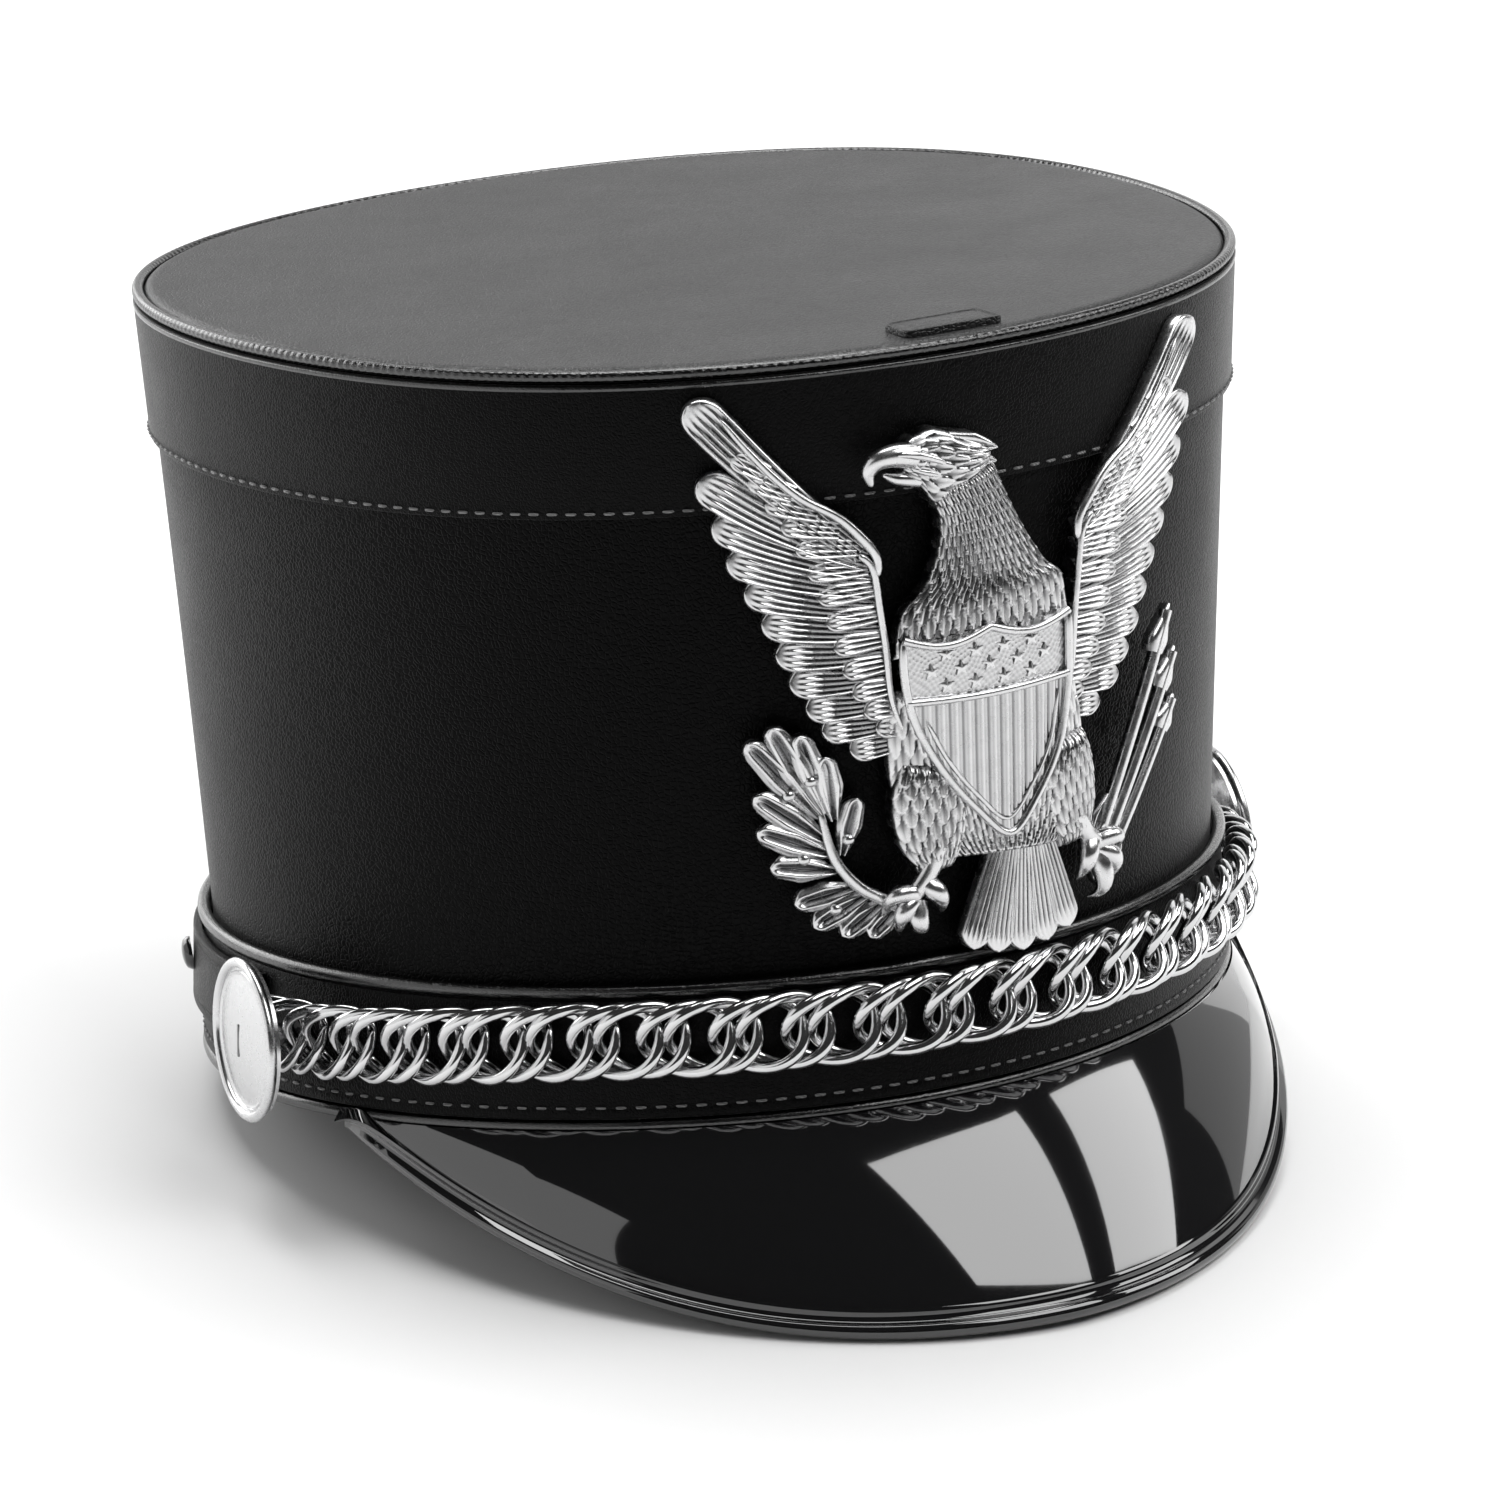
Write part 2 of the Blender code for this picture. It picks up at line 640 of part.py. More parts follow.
def turned(profile, sides):
    """A solid of revolution about +Z from radii and heights that start and end on the axis."""
    bm = bmesh.new()
    spin = np.arange(sides) * 2 * math.pi / sides
    radii, heights = np.array(profile[1:-1]).T
    grid = np.stack([
        np.cos(spin)[:, None] * radii, np.sin(spin)[:, None] * radii,
        np.broadcast_to(heights, (sides, len(radii))),
    ], axis=-1)
    verts = add_grid(bm, grid, True, False)
    for end, column in ((profile[0], 0), (profile[-1], -1)):
        pole = bm.verts.new((0.0, 0.0, end[1]))
        for i in range(sides):
            bm.faces.new((verts[i][column], verts[(i + 1) % sides][column], pole))
    return bm


def seat_matrix(angle, height, outset, lean):
    """Place and turn that stand a turned piece on the headband, its axis pointing out."""
    step = 0.001
    place = outline(angle, height, outset)
    tangent = outline(angle + step, height, outset) - outline(angle - step, height, outset)
    out = np.cross(tangent, (0.0, 0.0, 1.0))
    out = out / np.linalg.norm(out)
    heading = math.atan2(out[1], out[0])
    return (Matrix.Translation(place) @ Matrix.Rotation(heading, 4, "Z")
            @ Matrix.Rotation(math.pi / 2 - lean, 4, "Y"))


def button_back(turn):
    """How far along its axis a button's head starts: clear of the chain, for all its lean and turn."""
    lean_rise = LINK_HEIGHT / 2 * math.tan(BUTTON_LEAN)
    turn_rise = END_LINK_SHARE * LINK_LENGTH * math.tan(turn)
    return chain_proud() + GAP + lean_rise + turn_rise


def turn_head(bm, turn):
    """Turn a button's head about its shank's end, as the chain under its front half tips it back."""
    back = button_back(turn)
    head = [vert for vert in bm.verts if vert.co.z > back - GAP]
    bmesh.ops.rotate(bm, verts=head, cent=(0.0, 0.0, back), matrix=Matrix.Rotation(turn, 3, "X"))


def side_button(side, material, stance):
    """A round button with a raised rim, on a shank that passes through the chain's end link."""
    turn = 0.0 if side > 0 else LEFT_BUTTON_TURN
    back = button_back(turn)
    face = back + BUTTON_THICKNESS
    crest = BUTTON_RADIUS - BUTTON_RIM_RADIUS
    inside = crest - BUTTON_RIM_RADIUS
    shoulder_radius, shoulder_rise = BUTTON_SHOULDER
    profile = [
        (0.0, GAP), (SHANK_RADIUS, GAP), (SHANK_RADIUS, back), (crest, back),
        (BUTTON_RADIUS, back + BUTTON_THICKNESS / 2), (crest, face + BUTTON_RIM_RADIUS), (inside, face),
        (inside * shoulder_radius, face + BUTTON_DOME * shoulder_rise), (0.0, face + BUTTON_DOME),
    ]
    bm = turned(profile, BUTTON_SIDES)
    turn_head(bm, turn)
    clear = SHANK_RADIUS * (WALL_FLARE / HEADBAND_TOP + math.tan(BUTTON_LEAN))
    seat_outset = headband_face(BUTTON_HEIGHT) + clear
    bm.transform(seat_matrix(button_angle(side), BUTTON_HEIGHT, seat_outset, BUTTON_LEAN))
    name = "side_button_right" if side > 0 else "side_button_left"
    return finish(bm, name, material, stance)


def strap_outset(height):
    """Outset of the strap's inner face at a height."""
    return headband_face(height) + GAP


def chin_strap(material, stance):
    """The strap stowed round the back of the headband, from button to button."""
    step = 2 * math.pi / SIDES
    past_link = (LINK_LENGTH / 2 - pair_starts()[0] + 3 * GAP) / (FOOT_LENGTH / 2)
    start, stop = button_angle(1) + past_link, button_angle(-1) + 2 * math.pi - past_link
    facets = np.arange(math.ceil(start / step), SIDES) * step
    facets = facets[(facets > start + step / 4) & (facets < stop - step / 4)]
    angles = np.concatenate([[start], facets, [stop]])
    lower, upper = STRAP_HEIGHT - STRAP_WIDTH / 2, STRAP_HEIGHT + STRAP_WIDTH / 2
    profile = [
        (lower, strap_outset(lower)), (lower, strap_outset(lower) + STRAP_THICKNESS),
        (upper, strap_outset(upper) + STRAP_THICKNESS), (upper, strap_outset(upper)),
    ]
    heights, outsets = np.array(profile).T
    bm = bmesh.new()
    verts = add_grid(bm, outline(angles[:, None], heights, outsets), False, True)
    bm.faces.new(verts[0])
    bm.faces.new(verts[-1])
    return finish(bm, "chin_strap", material, stance)


def strap_stud(side, material, stance):
    """A domed stud on the strap behind each button."""
    shoulder_radius, shoulder_rise = STUD_SHOULDER
    profile = [
        (0.0, 0.0), (STUD_RADIUS, 0.0), (STUD_RADIUS, STUD_PROUD * STUD_EDGE_SHARE),
        (STUD_RADIUS * shoulder_radius, STUD_PROUD * shoulder_rise), (0.0, STUD_PROUD),
    ]
    bm = turned(profile, STUD_SIDES)
    flare_lean = math.atan(WALL_FLARE / HEADBAND_TOP)
    facet_lean = STUD_RADIUS * math.pi / SIDES
    outset = strap_outset(STUD_HEIGHT) + STRAP_THICKNESS + GAP + facet_lean
    bm.transform(seat_matrix(side_angle(side, -STUD_BACK), STUD_HEIGHT, outset, -flare_lean))
    name = "strap_stud_right" if side > 0 else "strap_stud_left"
    return finish(bm, name, material, stance)


def badge_plan(shares):
    """Shares of half the span and of the height as lengths in the badge's flat plan."""
    return np.array(shares, float) * (BADGE_SPAN / 2, BADGE_HEIGHT)


def badge_slab(name, plan, relief):
    """A flat-backed piece of the badge with sloping sides, drawn in the plan."""
    middle = plan.mean(axis=0)
    top = plan + (middle - plan) * BEVEL_SHARE
    bm = bmesh.new()
    low = np.column_stack([plan, np.zeros(len(plan))])
    high = np.column_stack([top, np.full(len(plan), relief)])
    slab_ring(bm, low, high)
    return scratch_object(bm, name)


def lobe(tip, root, width, stations):
    """An outline about a line from root to tip, with half widths at stations along it."""
    axis = tip - root
    aside = np.array((-axis[1], axis[0])) / np.linalg.norm(axis) * width / 2
    one_side = [root + axis * along + aside * wide for along, wide in stations]
    other_side = [root + axis * along - aside * wide for along, wide in reversed(stations)]
    return np.array(one_side + other_side)


def badge_lobes(name, rows, stations, relief, mirrored=False):
    """A slab for each row of tips, roots and widths."""
    slabs = []
    for number, row in enumerate(rows):
        flip = np.array((-1 if mirrored else 1, 1))
        tip, root = badge_plan(row[0:2]) * flip, badge_plan(row[2:4]) * flip
        height = relief * (ALTERNATE_SHARE if number % 2 else 1.0)
        plan = lobe(tip, root, row[4] * BADGE_SPAN / 2, stations)
        slabs.append(badge_slab(f"{name}_{number}", plan, height))
    return slabs


def arrow_plan(tip, butt):
    """An arrow: a thin shaft that ends in a barbed head."""
    axis = (tip - butt) / np.linalg.norm(tip - butt)
    aside = np.array((-axis[1], axis[0]))
    head, shaft, barb = np.array(ARROW_FORM) * BADGE_SPAN
    neck = tip - axis * head
    return np.array([
        butt + aside * shaft, neck + aside * shaft, neck + aside * barb, tip,
        neck - aside * barb, neck - aside * shaft, butt - aside * shaft,
    ])


def badge_slabs():
    """Every slab of the badge, in its flat plan."""
    mirror = np.array((-1, 1))
    slabs = badge_lobes("right_feather", FEATHERS, FEATHER_FORM, FEATHER_RELIEF)
    slabs += badge_lobes("left_feather", FEATHERS, FEATHER_FORM, FEATHER_RELIEF, mirrored=True)
    slabs += badge_lobes("leaf", LEAVES, LEAF_FORM, LEAF_RELIEF)
    slabs += badge_lobes("tail", TAIL, TAIL_FORM, TAIL_RELIEF)
    slabs.append(badge_slab("right_arm", badge_plan(WING_ARM), WING_ARM_RELIEF))
    slabs.append(badge_slab("left_arm", (badge_plan(WING_ARM) * mirror)[::-1], WING_ARM_RELIEF))
    slabs.append(badge_slab("body", badge_plan(BODY), BODY_RELIEF))
    slabs.append(badge_slab("neck", badge_plan(NECK), NECK_RELIEF))
    slabs.append(badge_slab("left_leg", badge_plan(LEFT_LEG), LEG_RELIEF))
    slabs.append(badge_slab("right_leg", badge_plan(RIGHT_LEG), LEG_RELIEF * ALTERNATE_SHARE))
    slabs.append(badge_slab("stem", badge_plan(STEM), BRANCH_RELIEF))
    for number, row in enumerate(ARROWS):
        plan = arrow_plan(badge_plan(row[0:2]), badge_plan(row[2:4]))
        slabs.append(badge_slab(f"arrow_{number}", plan, ARROW_RELIEF * (1 - ARROW_STEP_SHARE * number)))
    return slabs


def badge_back(height):
    """Outset of the badge's back: it leans from the headband's welt to the top band."""
    foot, head = badge_foot(), CROWN_HEIGHT - TOP_BAND_DEPTH
    low = 2 * GAP + 2 * HEADBAND_WELT_RADIUS
    high = 2 * GAP + TOP_BAND_THICKNESS
    return blend(low, high, np.clip((height - foot) / (head - foot), 0, 1))


def badge_foot():
    """Height of the badge's lowest point, just above the chain."""
    return CHAIN_FRONT_HEIGHT + LINK_HEIGHT / 2 + BADGE_CHAIN_CLEARANCE


def bend_to_crown(flat):
    """Wrap the badge's flat plan round the front of the crown."""
    height = badge_foot() + flat[:, 1]
    middle = badge_foot() + BADGE_HEIGHT / 2
    angles = np.linspace(FRONT - BADGE_ARC, FRONT + BADGE_ARC, PATH_STEPS + 1)
    arc = outline(angles, middle)
    distance = np.concatenate([[0], np.cumsum(np.linalg.norm(np.diff(arc[:, :2], axis=0), axis=1))])
    distance -= distance[PATH_STEPS // 2]
    foot_girth, top_girth = FOOT_WIDTH + FOOT_LENGTH, TOP_WIDTH + TOP_LENGTH
    girth = blend(foot_girth, top_girth, height / CROWN_HEIGHT)
    growth = girth / blend(foot_girth, top_girth, middle / CROWN_HEIGHT)
    angle = np.interp(flat[:, 0] / growth, distance, angles)
    return outline(angle, height, badge_back(height) + flat[:, 2])


def eagle_badge(material, stance):
    """The badge: an eagle with a shield, an olive branch and arrows, cast in one piece."""
    bm = fused(badge_slab("shield", badge_plan(SHIELD), SHIELD_RELIEF), badge_slabs())
    bmesh.ops.remove_doubles(bm, verts=bm.verts, dist=BADGE_MERGE)
    bmesh.ops.dissolve_limit(bm, angle_limit=BADGE_FLATNESS, verts=bm.verts, edges=bm.edges)
    cuts = int(BADGE_SPAN / 2 / BADGE_BEND_STEP)
    for number in range(-cuts, cuts + 1):
        everything = [*bm.verts, *bm.edges, *bm.faces]
        cut = (number * BADGE_BEND_STEP, 0, 0)
        bmesh.ops.bisect_plane(bm, geom=everything, dist=BADGE_MERGE / 2, plane_co=cut, plane_no=(1, 0, 0))
    bmesh.ops.triangulate(bm, faces=bm.faces)
    flat = np.array([vert.co for vert in bm.verts])
    for vert, place in zip(bm.verts, bend_to_crown(flat)):
        vert.co = place
    return finish(bm, "eagle_badge", material, stance)


def stand(stance):
    """Tip the hat until the peak's edge and the back of the rim are level, its footprint at the origin."""
    edge = peak_edge(peak_turns(), PEAK_BINDING_RADIUS) - (0.0, 0.0, PEAK_BINDING_RADIUS)
    rim = outline(-FRONT, 0.0, rim_outset())
    tilt = np.arctan2(edge[:, 2] - rim[2], rim[1] - edge[:, 1]).min()
    stance.rotation_euler = (tilt, 0.0, 0.0)
    bpy.context.view_layer.update()
    corners = np.array([
        piece.matrix_world @ vert.co for piece in stance.children for vert in piece.data.vertices])
    low, high = corners.min(axis=0), corners.max(axis=0)
    stance.location = (-(low[0] + high[0]) / 2, -(low[1] + high[1]) / 2, -low[2])
    bpy.context.view_layer.update()


def build_hat():
    """Make every piece of the hat under its stance."""
    clear_scene()
    stance = bpy.data.objects.new("hat_stance", None)
    bpy.context.scene.collection.objects.link(stance)
    grained = (0.016, 0.016, 0.017)
    smooth = (0.008, 0.008, 0.009)
    crown_wall(make_material("wall_leather", grained, 0.42), stance)
    crown_top(make_material("top_leather", grained, 0.45), stance)
    top_welt(make_material("welt_leather", smooth, 0.3), stance)
    top_band(make_material("band_leather", grained, 0.38), stance)
    headband(make_material("headband_leather", grained, 0.36), stance)
    headband_welt(make_material("headband_welt_leather", smooth, 0.3), stance)
    rim_binding(make_material("rim_leather", smooth, 0.35), stance)
    plume_flap(make_material("flap_leather", smooth, 0.35), stance)
    peak(make_material("peak_patent", smooth, 0.05, coat=1.0), stance)
    peak_binding(make_material("peak_binding_patent", smooth, 0.12, coat=0.6), stance)
    chain(make_material("chain_chrome", (0.78, 0.78, 0.79), 0.1, 1.0), stance)
    chin_strap(make_material("strap_leather", grained, 0.35), stance)
    for side, word in ((-1, "left"), (1, "right")):
        side_button(side, make_material(f"button_chrome_{word}", (0.76, 0.76, 0.77), 0.15, 1.0), stance)
        strap_stud(side, make_material(f"stud_black_{word}", smooth, 0.2), stance)
    eagle_badge(make_material("badge_chrome", (0.78, 0.78, 0.79), 0.14, 1.0), stance)
    stand(stance)


build_hat()
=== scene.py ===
"""The looks of a marching band shako in black leather with a chrome chain and an eagle badge.

Shapes are worked out in the hat's own upright frame, foot round the origin, +Z up, front towards -Y.
The front of the crown's oval is at the angle FRONT. Every surface is a numpy grid of points that is
turned into the frame's stance at the end, so that it lies on the CAD part.
"""

import json
import math

import bmesh
import bpy
import numpy as np
from mathutils import Matrix, Vector


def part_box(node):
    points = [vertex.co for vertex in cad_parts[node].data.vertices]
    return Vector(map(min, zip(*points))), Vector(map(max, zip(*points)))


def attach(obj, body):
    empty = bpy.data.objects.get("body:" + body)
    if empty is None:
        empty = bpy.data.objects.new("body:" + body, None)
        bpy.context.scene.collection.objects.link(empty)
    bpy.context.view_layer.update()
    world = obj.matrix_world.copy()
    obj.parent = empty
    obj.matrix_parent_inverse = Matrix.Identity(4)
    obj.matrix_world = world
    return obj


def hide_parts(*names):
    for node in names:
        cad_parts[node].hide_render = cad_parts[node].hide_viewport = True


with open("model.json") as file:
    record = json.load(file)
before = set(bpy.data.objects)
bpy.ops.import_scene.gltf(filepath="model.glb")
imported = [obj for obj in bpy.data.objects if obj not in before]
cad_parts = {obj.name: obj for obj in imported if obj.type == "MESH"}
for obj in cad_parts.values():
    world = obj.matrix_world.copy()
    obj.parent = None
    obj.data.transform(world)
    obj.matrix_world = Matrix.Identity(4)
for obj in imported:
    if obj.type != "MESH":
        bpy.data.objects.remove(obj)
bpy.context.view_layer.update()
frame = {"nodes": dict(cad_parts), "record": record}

# Crown, as in the part
GAP = 0.0003
CROWN_HEIGHT = 0.137
FOOT_WIDTH, FOOT_LENGTH = 0.172, 0.192
TOP_WIDTH, TOP_LENGTH = 0.1874, 0.1962
FOOT_SHIFT, TOP_SHIFT = 0.0017, -0.0027
FOOT_SLOPE, TOP_SLOPE = math.radians(-6.4), math.radians(-2.9)
TOP_EGG = 0.061
FOOT_NARROWING, TOP_SQUARENESS = 0.0021, 0.0036
WALL, WALL_FLARE = 0.0018, 0.0026
WALL_FIRST_ROW, WALL_NEXT_ROW = 0.001, 0.006  # heights above the headband of the wall's next rows
TOP_THICKNESS = 0.0019
FRONT = -math.pi / 2

# Bands, rolls and rim
TOP_BAND_DEPTH, TOP_BAND_THICKNESS = 0.0259, 0.001
TOP_WELT_RADIUS = 0.001
EDGE_ROLL_RADIUS = 0.0007
HEADBAND_TOP, HEADBAND_THICKNESS = 0.0242, 0.0014
HEADBAND_WELT_RADIUS = 0.0012
RIM_ROLL_RADIUS = 0.0012
EDGE_ROUND = 0.0004
PUCKERS, PUCKER_DEPTH = 360, 0.00006
DISC_DOME, DISC_DIP, DISC_ROUNDING = 0.0005, 0.0009, 0.025
CREASE_HALF, CREASE_DEPTH = 0.0009, 0.00022

# Stitches
STITCH_PITCH = 0.0033
STITCH_LENGTH = 0.0022
STITCH_RADIUS = 0.00027
BAND_STITCH_RISE = 0.0011
HEADBAND_STITCH_HEIGHT = 0.0048
STITCH_SINK = 0.0002
STITCH_RINGS, STITCH_SIDES = 7, 6

# Tab over the plume socket
FLAP_WIDTH, FLAP_DEPTH, FLAP_THICKNESS = 0.018, 0.0085, 0.0012
FLAP_SETBACK, FLAP_CORNER = 0.0045, 0.0017
FLAP_PLACE = 0.8  # square of the tab's share of the way out over the disc
FLAP_ROWS = [
    # share of the plan's size, share of the thickness
    (1.0, 0.0), (1.0, 0.7), (0.985, 0.95), (0.95, 1.0), (0.9, 0.8), (0.86, 0.86), (0.5, 0.95), (0.05, 1.0)]

# Peak
PEAK_HALF_WIDTH, PEAK_REACH = 0.0876, 0.1073
PEAK_START, PEAK_START_HEIGHT = -0.0234, 0.0041
PEAK_PITCH = math.radians(12.0)
PEAK_SQUARENESS = 1.78
PEAK_SAG, PEAK_CAMBER, PEAK_THICKNESS = 0.0044, 0.002, 0.002
PEAK_BINDING_RADIUS = 0.0015
PEAK_JOIN_HEIGHT = 0.0008
PEAK_END_MARGIN = math.radians(4.0)  # the ends run further back than the part's
PEAK_CAMBER_LIMIT = 0.1
BINDING_WIDTH, BINDING_STEP, BINDING_ROUND = 0.0034, 0.00045, 0.0002

# Side buttons and chain
BUTTON_RADIUS, BUTTON_RIM_RADIUS = 0.0142, 0.0009
BUTTON_THICKNESS, BUTTON_DOME = 0.0016, 0.0012
BUTTON_HEIGHT = 0.0146
LEFT_BUTTON_FORWARD, RIGHT_BUTTON_FORWARD = math.radians(10.0), math.radians(6.0)
LEFT_BUTTON_TURN, BUTTON_LEAN = math.radians(14.0), math.radians(4.0)
BUTTON_DOME_SHARE = 0.9
BUTTON_RING = [(0.97, 0.0), (0.95, 0.00025), (0.92, 0.0)]  # share of the radius, rise
SLOT_LENGTH, SLOT_WIDTH, SLOT_CORNER = 0.0058, 0.0007, 0.0003
SLOT_DEPTH, SLOT_PROUD = 0.0004, 0.00004
END_LINK_SHARE = 0.36
SHANK_RADIUS = 0.0021
LINK_LENGTH, LINK_HEIGHT = 0.0172, 0.0138
LINK_WIRE_RADIUS = 0.0011
LINK_WIRE_SHARE = 0.92
LINK_SECTION = (1.06, 0.94)  # the wire's width and depth, in radii
LINK_STEPS, LINK_SIDES = 44, 12
LINK_TWIST, LINK_STAGGER = 0.0017, 0.0006
LINK_PITCH, PAIR_SPACING = 0.0123, 0.0044
CHAIN_FRONT_HEIGHT, CHAIN_RISE_SHARE = 0.0179, 0.25

# Chin strap and studs
STRAP_WIDTH, STRAP_THICKNESS, STRAP_HEIGHT = 0.013, 0.0016, 0.0165
STUD_RADIUS, STUD_PROUD, STUD_HEIGHT = 0.003, 0.0019, 0.0185
STUD_BACK = math.radians(20.0)
STUD_SHARES = (0.3, 0.4, 0.96)  # heights of the foot and of the dome's start, the dome's radius
STRAP_LINE_INSET, STRAP_LINE_HALF, STRAP_LINE_DEPTH = 0.0016, 0.0003, 0.00025

# Badge
BADGE_SPAN, BADGE_HEIGHT = 0.095, 0.1075
BADGE_CHAIN_CLEARANCE = 0.0007
BADGE_ARC = 1.2

# Badge: how blades, rods, claws and lines are formed
ROW_CROWDING = 1.8  # power by which a blade's rows crowd towards its tip
# SIDE_SHADE is painted shade down the low sides of a blade.
BLADE_SIDE, GROOVE_STOP, SIDE_SHADE = 0.45, 0.45, 0.35
ROD_END = 0.06  # share of its length over which a rod's end is rounded
CLAW_LEVEL, CLAW_DROP, CLAW_RADIUS, CLAW_POINT = 0.0032, 0.0012, 0.0017, 0.0002
DOME_SIDES = 14
STAR_LEVELS = (-0.0003, 0.0001, 0.0003)  # foot, edge and point
SHIELD_LINES = 0.0050  # stand-off of the shield's borders

# Badge: all places are shares of half the span, then of the height
COVERTS = 13  # short feathers over the long ones' roots
FEATHER_RELIEF = 0.0022
FEATHER_TIPS = [
    # across, up
    (0.96, 0.985), (0.94, 0.860), (0.90, 0.790), (0.86, 0.730), (0.81, 0.675), (0.76, 0.620),
    (0.72, 0.565), (0.68, 0.515), (0.63, 0.470), (0.58, 0.430), (0.49, 0.392),
]
WING_INNER_EDGE = [(0.43, 0.715), (0.385, 0.685), (0.368, 0.62), (0.352, 0.55), (0.338, 0.465),
                   (0.290, 0.395)]
LEADING_EDGE = [(0.372, 0.672), (0.378, 0.708), (0.43, 0.745), (0.50, 0.780), (0.61, 0.815), (0.70, 0.857),
                (0.79, 0.910), (0.86, 0.957)]
COVERT_TIPS = [(0.83, 0.895), (0.73, 0.815), (0.64, 0.735), (0.575, 0.650), (0.53, 0.565), (0.475, 0.485),
               (0.40, 0.425)]
COVERT_ROOTS = [(0.72, 0.862), (0.56, 0.788), (0.44, 0.725), (0.385, 0.655), (0.362, 0.570), (0.340, 0.490),
                (0.285, 0.415)]
# Forms: share of the way from root to tip, share of the full width
FEATHER_FORM = [(0.0, 0.62), (0.5, 0.86), (0.8, 1.0), (1.0, 1.0)]
COVERT_FORM = [(0.0, 0.8), (0.6, 1.0), (1.0, 0.9)]
LEAF_FORM = [(0.0, 0.35), (0.5, 1.0), (0.85, 0.8), (1.0, 0.5)]
CREST_FORM = [(0.0, 0.8), (0.5, 1.0), (0.8, 0.6), (1.0, 0.15)]
TAIL_FORM = [(0.0, 0.55), (0.9, 1.0), (1.0, 0.9)]
HEAD_FORM = [(0.0, 0.75), (0.25, 1.0), (1.0, 0.06)]
VANE_FORM = [(0.0, 0.5), (0.3, 1.0), (1.0, 0.7)]
# Body: edges of its pillowed sheets, from below upwards
NECK_LEFT = [(-0.335, 0.530), (-0.300, 0.604), (-0.215, 0.650), (-0.170, 0.705), (-0.165, 0.755),
             (-0.200, 0.800)]
NECK_RIGHT = [(0.335, 0.530), (0.310, 0.620), (0.235, 0.655), (0.150, 0.715), (0.085, 0.775), (0.030, 0.838)]
SKULL_LOWER = [(0.015, 0.840), (-0.080, 0.798), (-0.180, 0.782), (-0.235, 0.812), (-0.290, 0.836)]
SKULL_UPPER = [(0.015, 0.862), (-0.070, 0.884), (-0.170, 0.906), (-0.250, 0.898), (-0.300, 0.884)]
CREST = [
    # tip across, tip up, root across, root up, width
    (0.038, 0.858, -0.140, 0.884, 0.085),
    (0.034, 0.836, -0.110, 0.856, 0.075),
]
EYE = (-0.238, 0.858)
HEAD_LINES = [
    # points as across, up and stand-off, radii along them, steps: the beak's two halves, brow, cheek
    ([(-0.235, 0.866, 0.0040), (-0.315, 0.872, 0.0042), (-0.372, 0.866, 0.0040), (-0.398, 0.848, 0.0036),
      (-0.388, 0.822, 0.0033)], (0.0026, 0.0022, 0.0017, 0.0012, 0.0004), 36),
    ([(-0.225, 0.826, 0.0034), (-0.300, 0.832, 0.0034), (-0.352, 0.842, 0.0032)],
     (0.0017, 0.0013, 0.0004), 36),
    ([(-0.325, 0.876, 0.0058), (-0.262, 0.872, 0.0062), (-0.190, 0.858, 0.0056), (-0.130, 0.842, 0.0050)],
     (0.0004, 0.0008, 0.0006, 0.0003), 24),
    ([(-0.270, 0.848, 0.0052), (-0.215, 0.838, 0.0054), (-0.150, 0.826, 0.0050)],
     (0.0003, 0.0006, 0.0003), 20),
]
BODY_LEFT = [(-0.200, 0.185), (-0.290, 0.230), (-0.350, 0.300), (-0.362, 0.400), (-0.350, 0.480)]
BODY_RIGHT = [(0.290, 0.170), (0.370, 0.215), (0.410, 0.290), (0.395, 0.380), (0.350, 0.480)]
THIGHS = [
    ([(-0.275, 0.165), (-0.345, 0.225), (-0.360, 0.300), (-0.320, 0.360)],
     [(-0.150, 0.170), (-0.095, 0.225), (-0.080, 0.290), (-0.130, 0.345)]),
    ([(0.290, 0.160), (0.235, 0.220), (0.215, 0.290), (0.260, 0.345)],
     [(0.400, 0.170), (0.440, 0.230), (0.430, 0.300), (0.385, 0.360)]),
]
TAIL = [
    # tip across, tip up, root across, root up, width
    (-0.07, 0.020, 0.08, 0.230, 0.125),
    (0.34, 0.020, 0.20, 0.230, 0.125),
    (0.03, 0.006, 0.11, 0.230, 0.125),
    (0.24, 0.006, 0.17, 0.230, 0.125),
    (0.135, 0.000, 0.14, 0.235, 0.125),
]
LEGS = [
    [(-0.200, 0.215, 0.0030), (-0.235, 0.175, 0.0034), (-0.290, 0.140, 0.0034), (-0.320, 0.118, 0.0028)],
    [(0.345, 0.215, 0.0030), (0.385, 0.180, 0.0034), (0.440, 0.155, 0.0034), (0.470, 0.130, 0.0028)],
]
TALONS = [
    # start across, start up, bend across, bend up, end across, end up
    (-0.300, 0.135, -0.390, 0.160, -0.400, 0.105),
    (-0.305, 0.125, -0.370, 0.110, -0.345, 0.070),
    (-0.290, 0.120, -0.300, 0.070, -0.245, 0.078),
    (-0.250, 0.150, -0.200, 0.130, -0.190, 0.095),
    (0.455, 0.155, 0.540, 0.175, 0.545, 0.120),
    (0.460, 0.140, 0.540, 0.120, 0.510, 0.078),
    (0.450, 0.130, 0.480, 0.070, 0.430, 0.060),
    (0.410, 0.160, 0.370, 0.130, 0.375, 0.095),
]
SHIELD_LEFT = [(0.050, 0.214), (-0.075, 0.267), (-0.195, 0.343), (-0.282, 0.427), (-0.312, 0.500),
               (-0.315, 0.567)]
SHIELD_RIGHT = [(0.060, 0.214), (0.160, 0.268), (0.250, 0.348), (0.287, 0.440), (0.292, 0.505),
                (0.290, 0.567)]
SHIELD_MIDDLE, SHIELD_INSET = (-0.01, 0.43), (0.86, 0.88)
SHIELD_TOP, CHIEF_FOOT, CHIEF_CURVE, SHIELD_DIP = 0.567, 0.462, 0.006, 0.019
STRIPE_PITCH, STAR_PITCH = 0.0462, 0.104
STAR_ROWS = [(4, 0.536), (5, 0.510), (4, 0.484)]
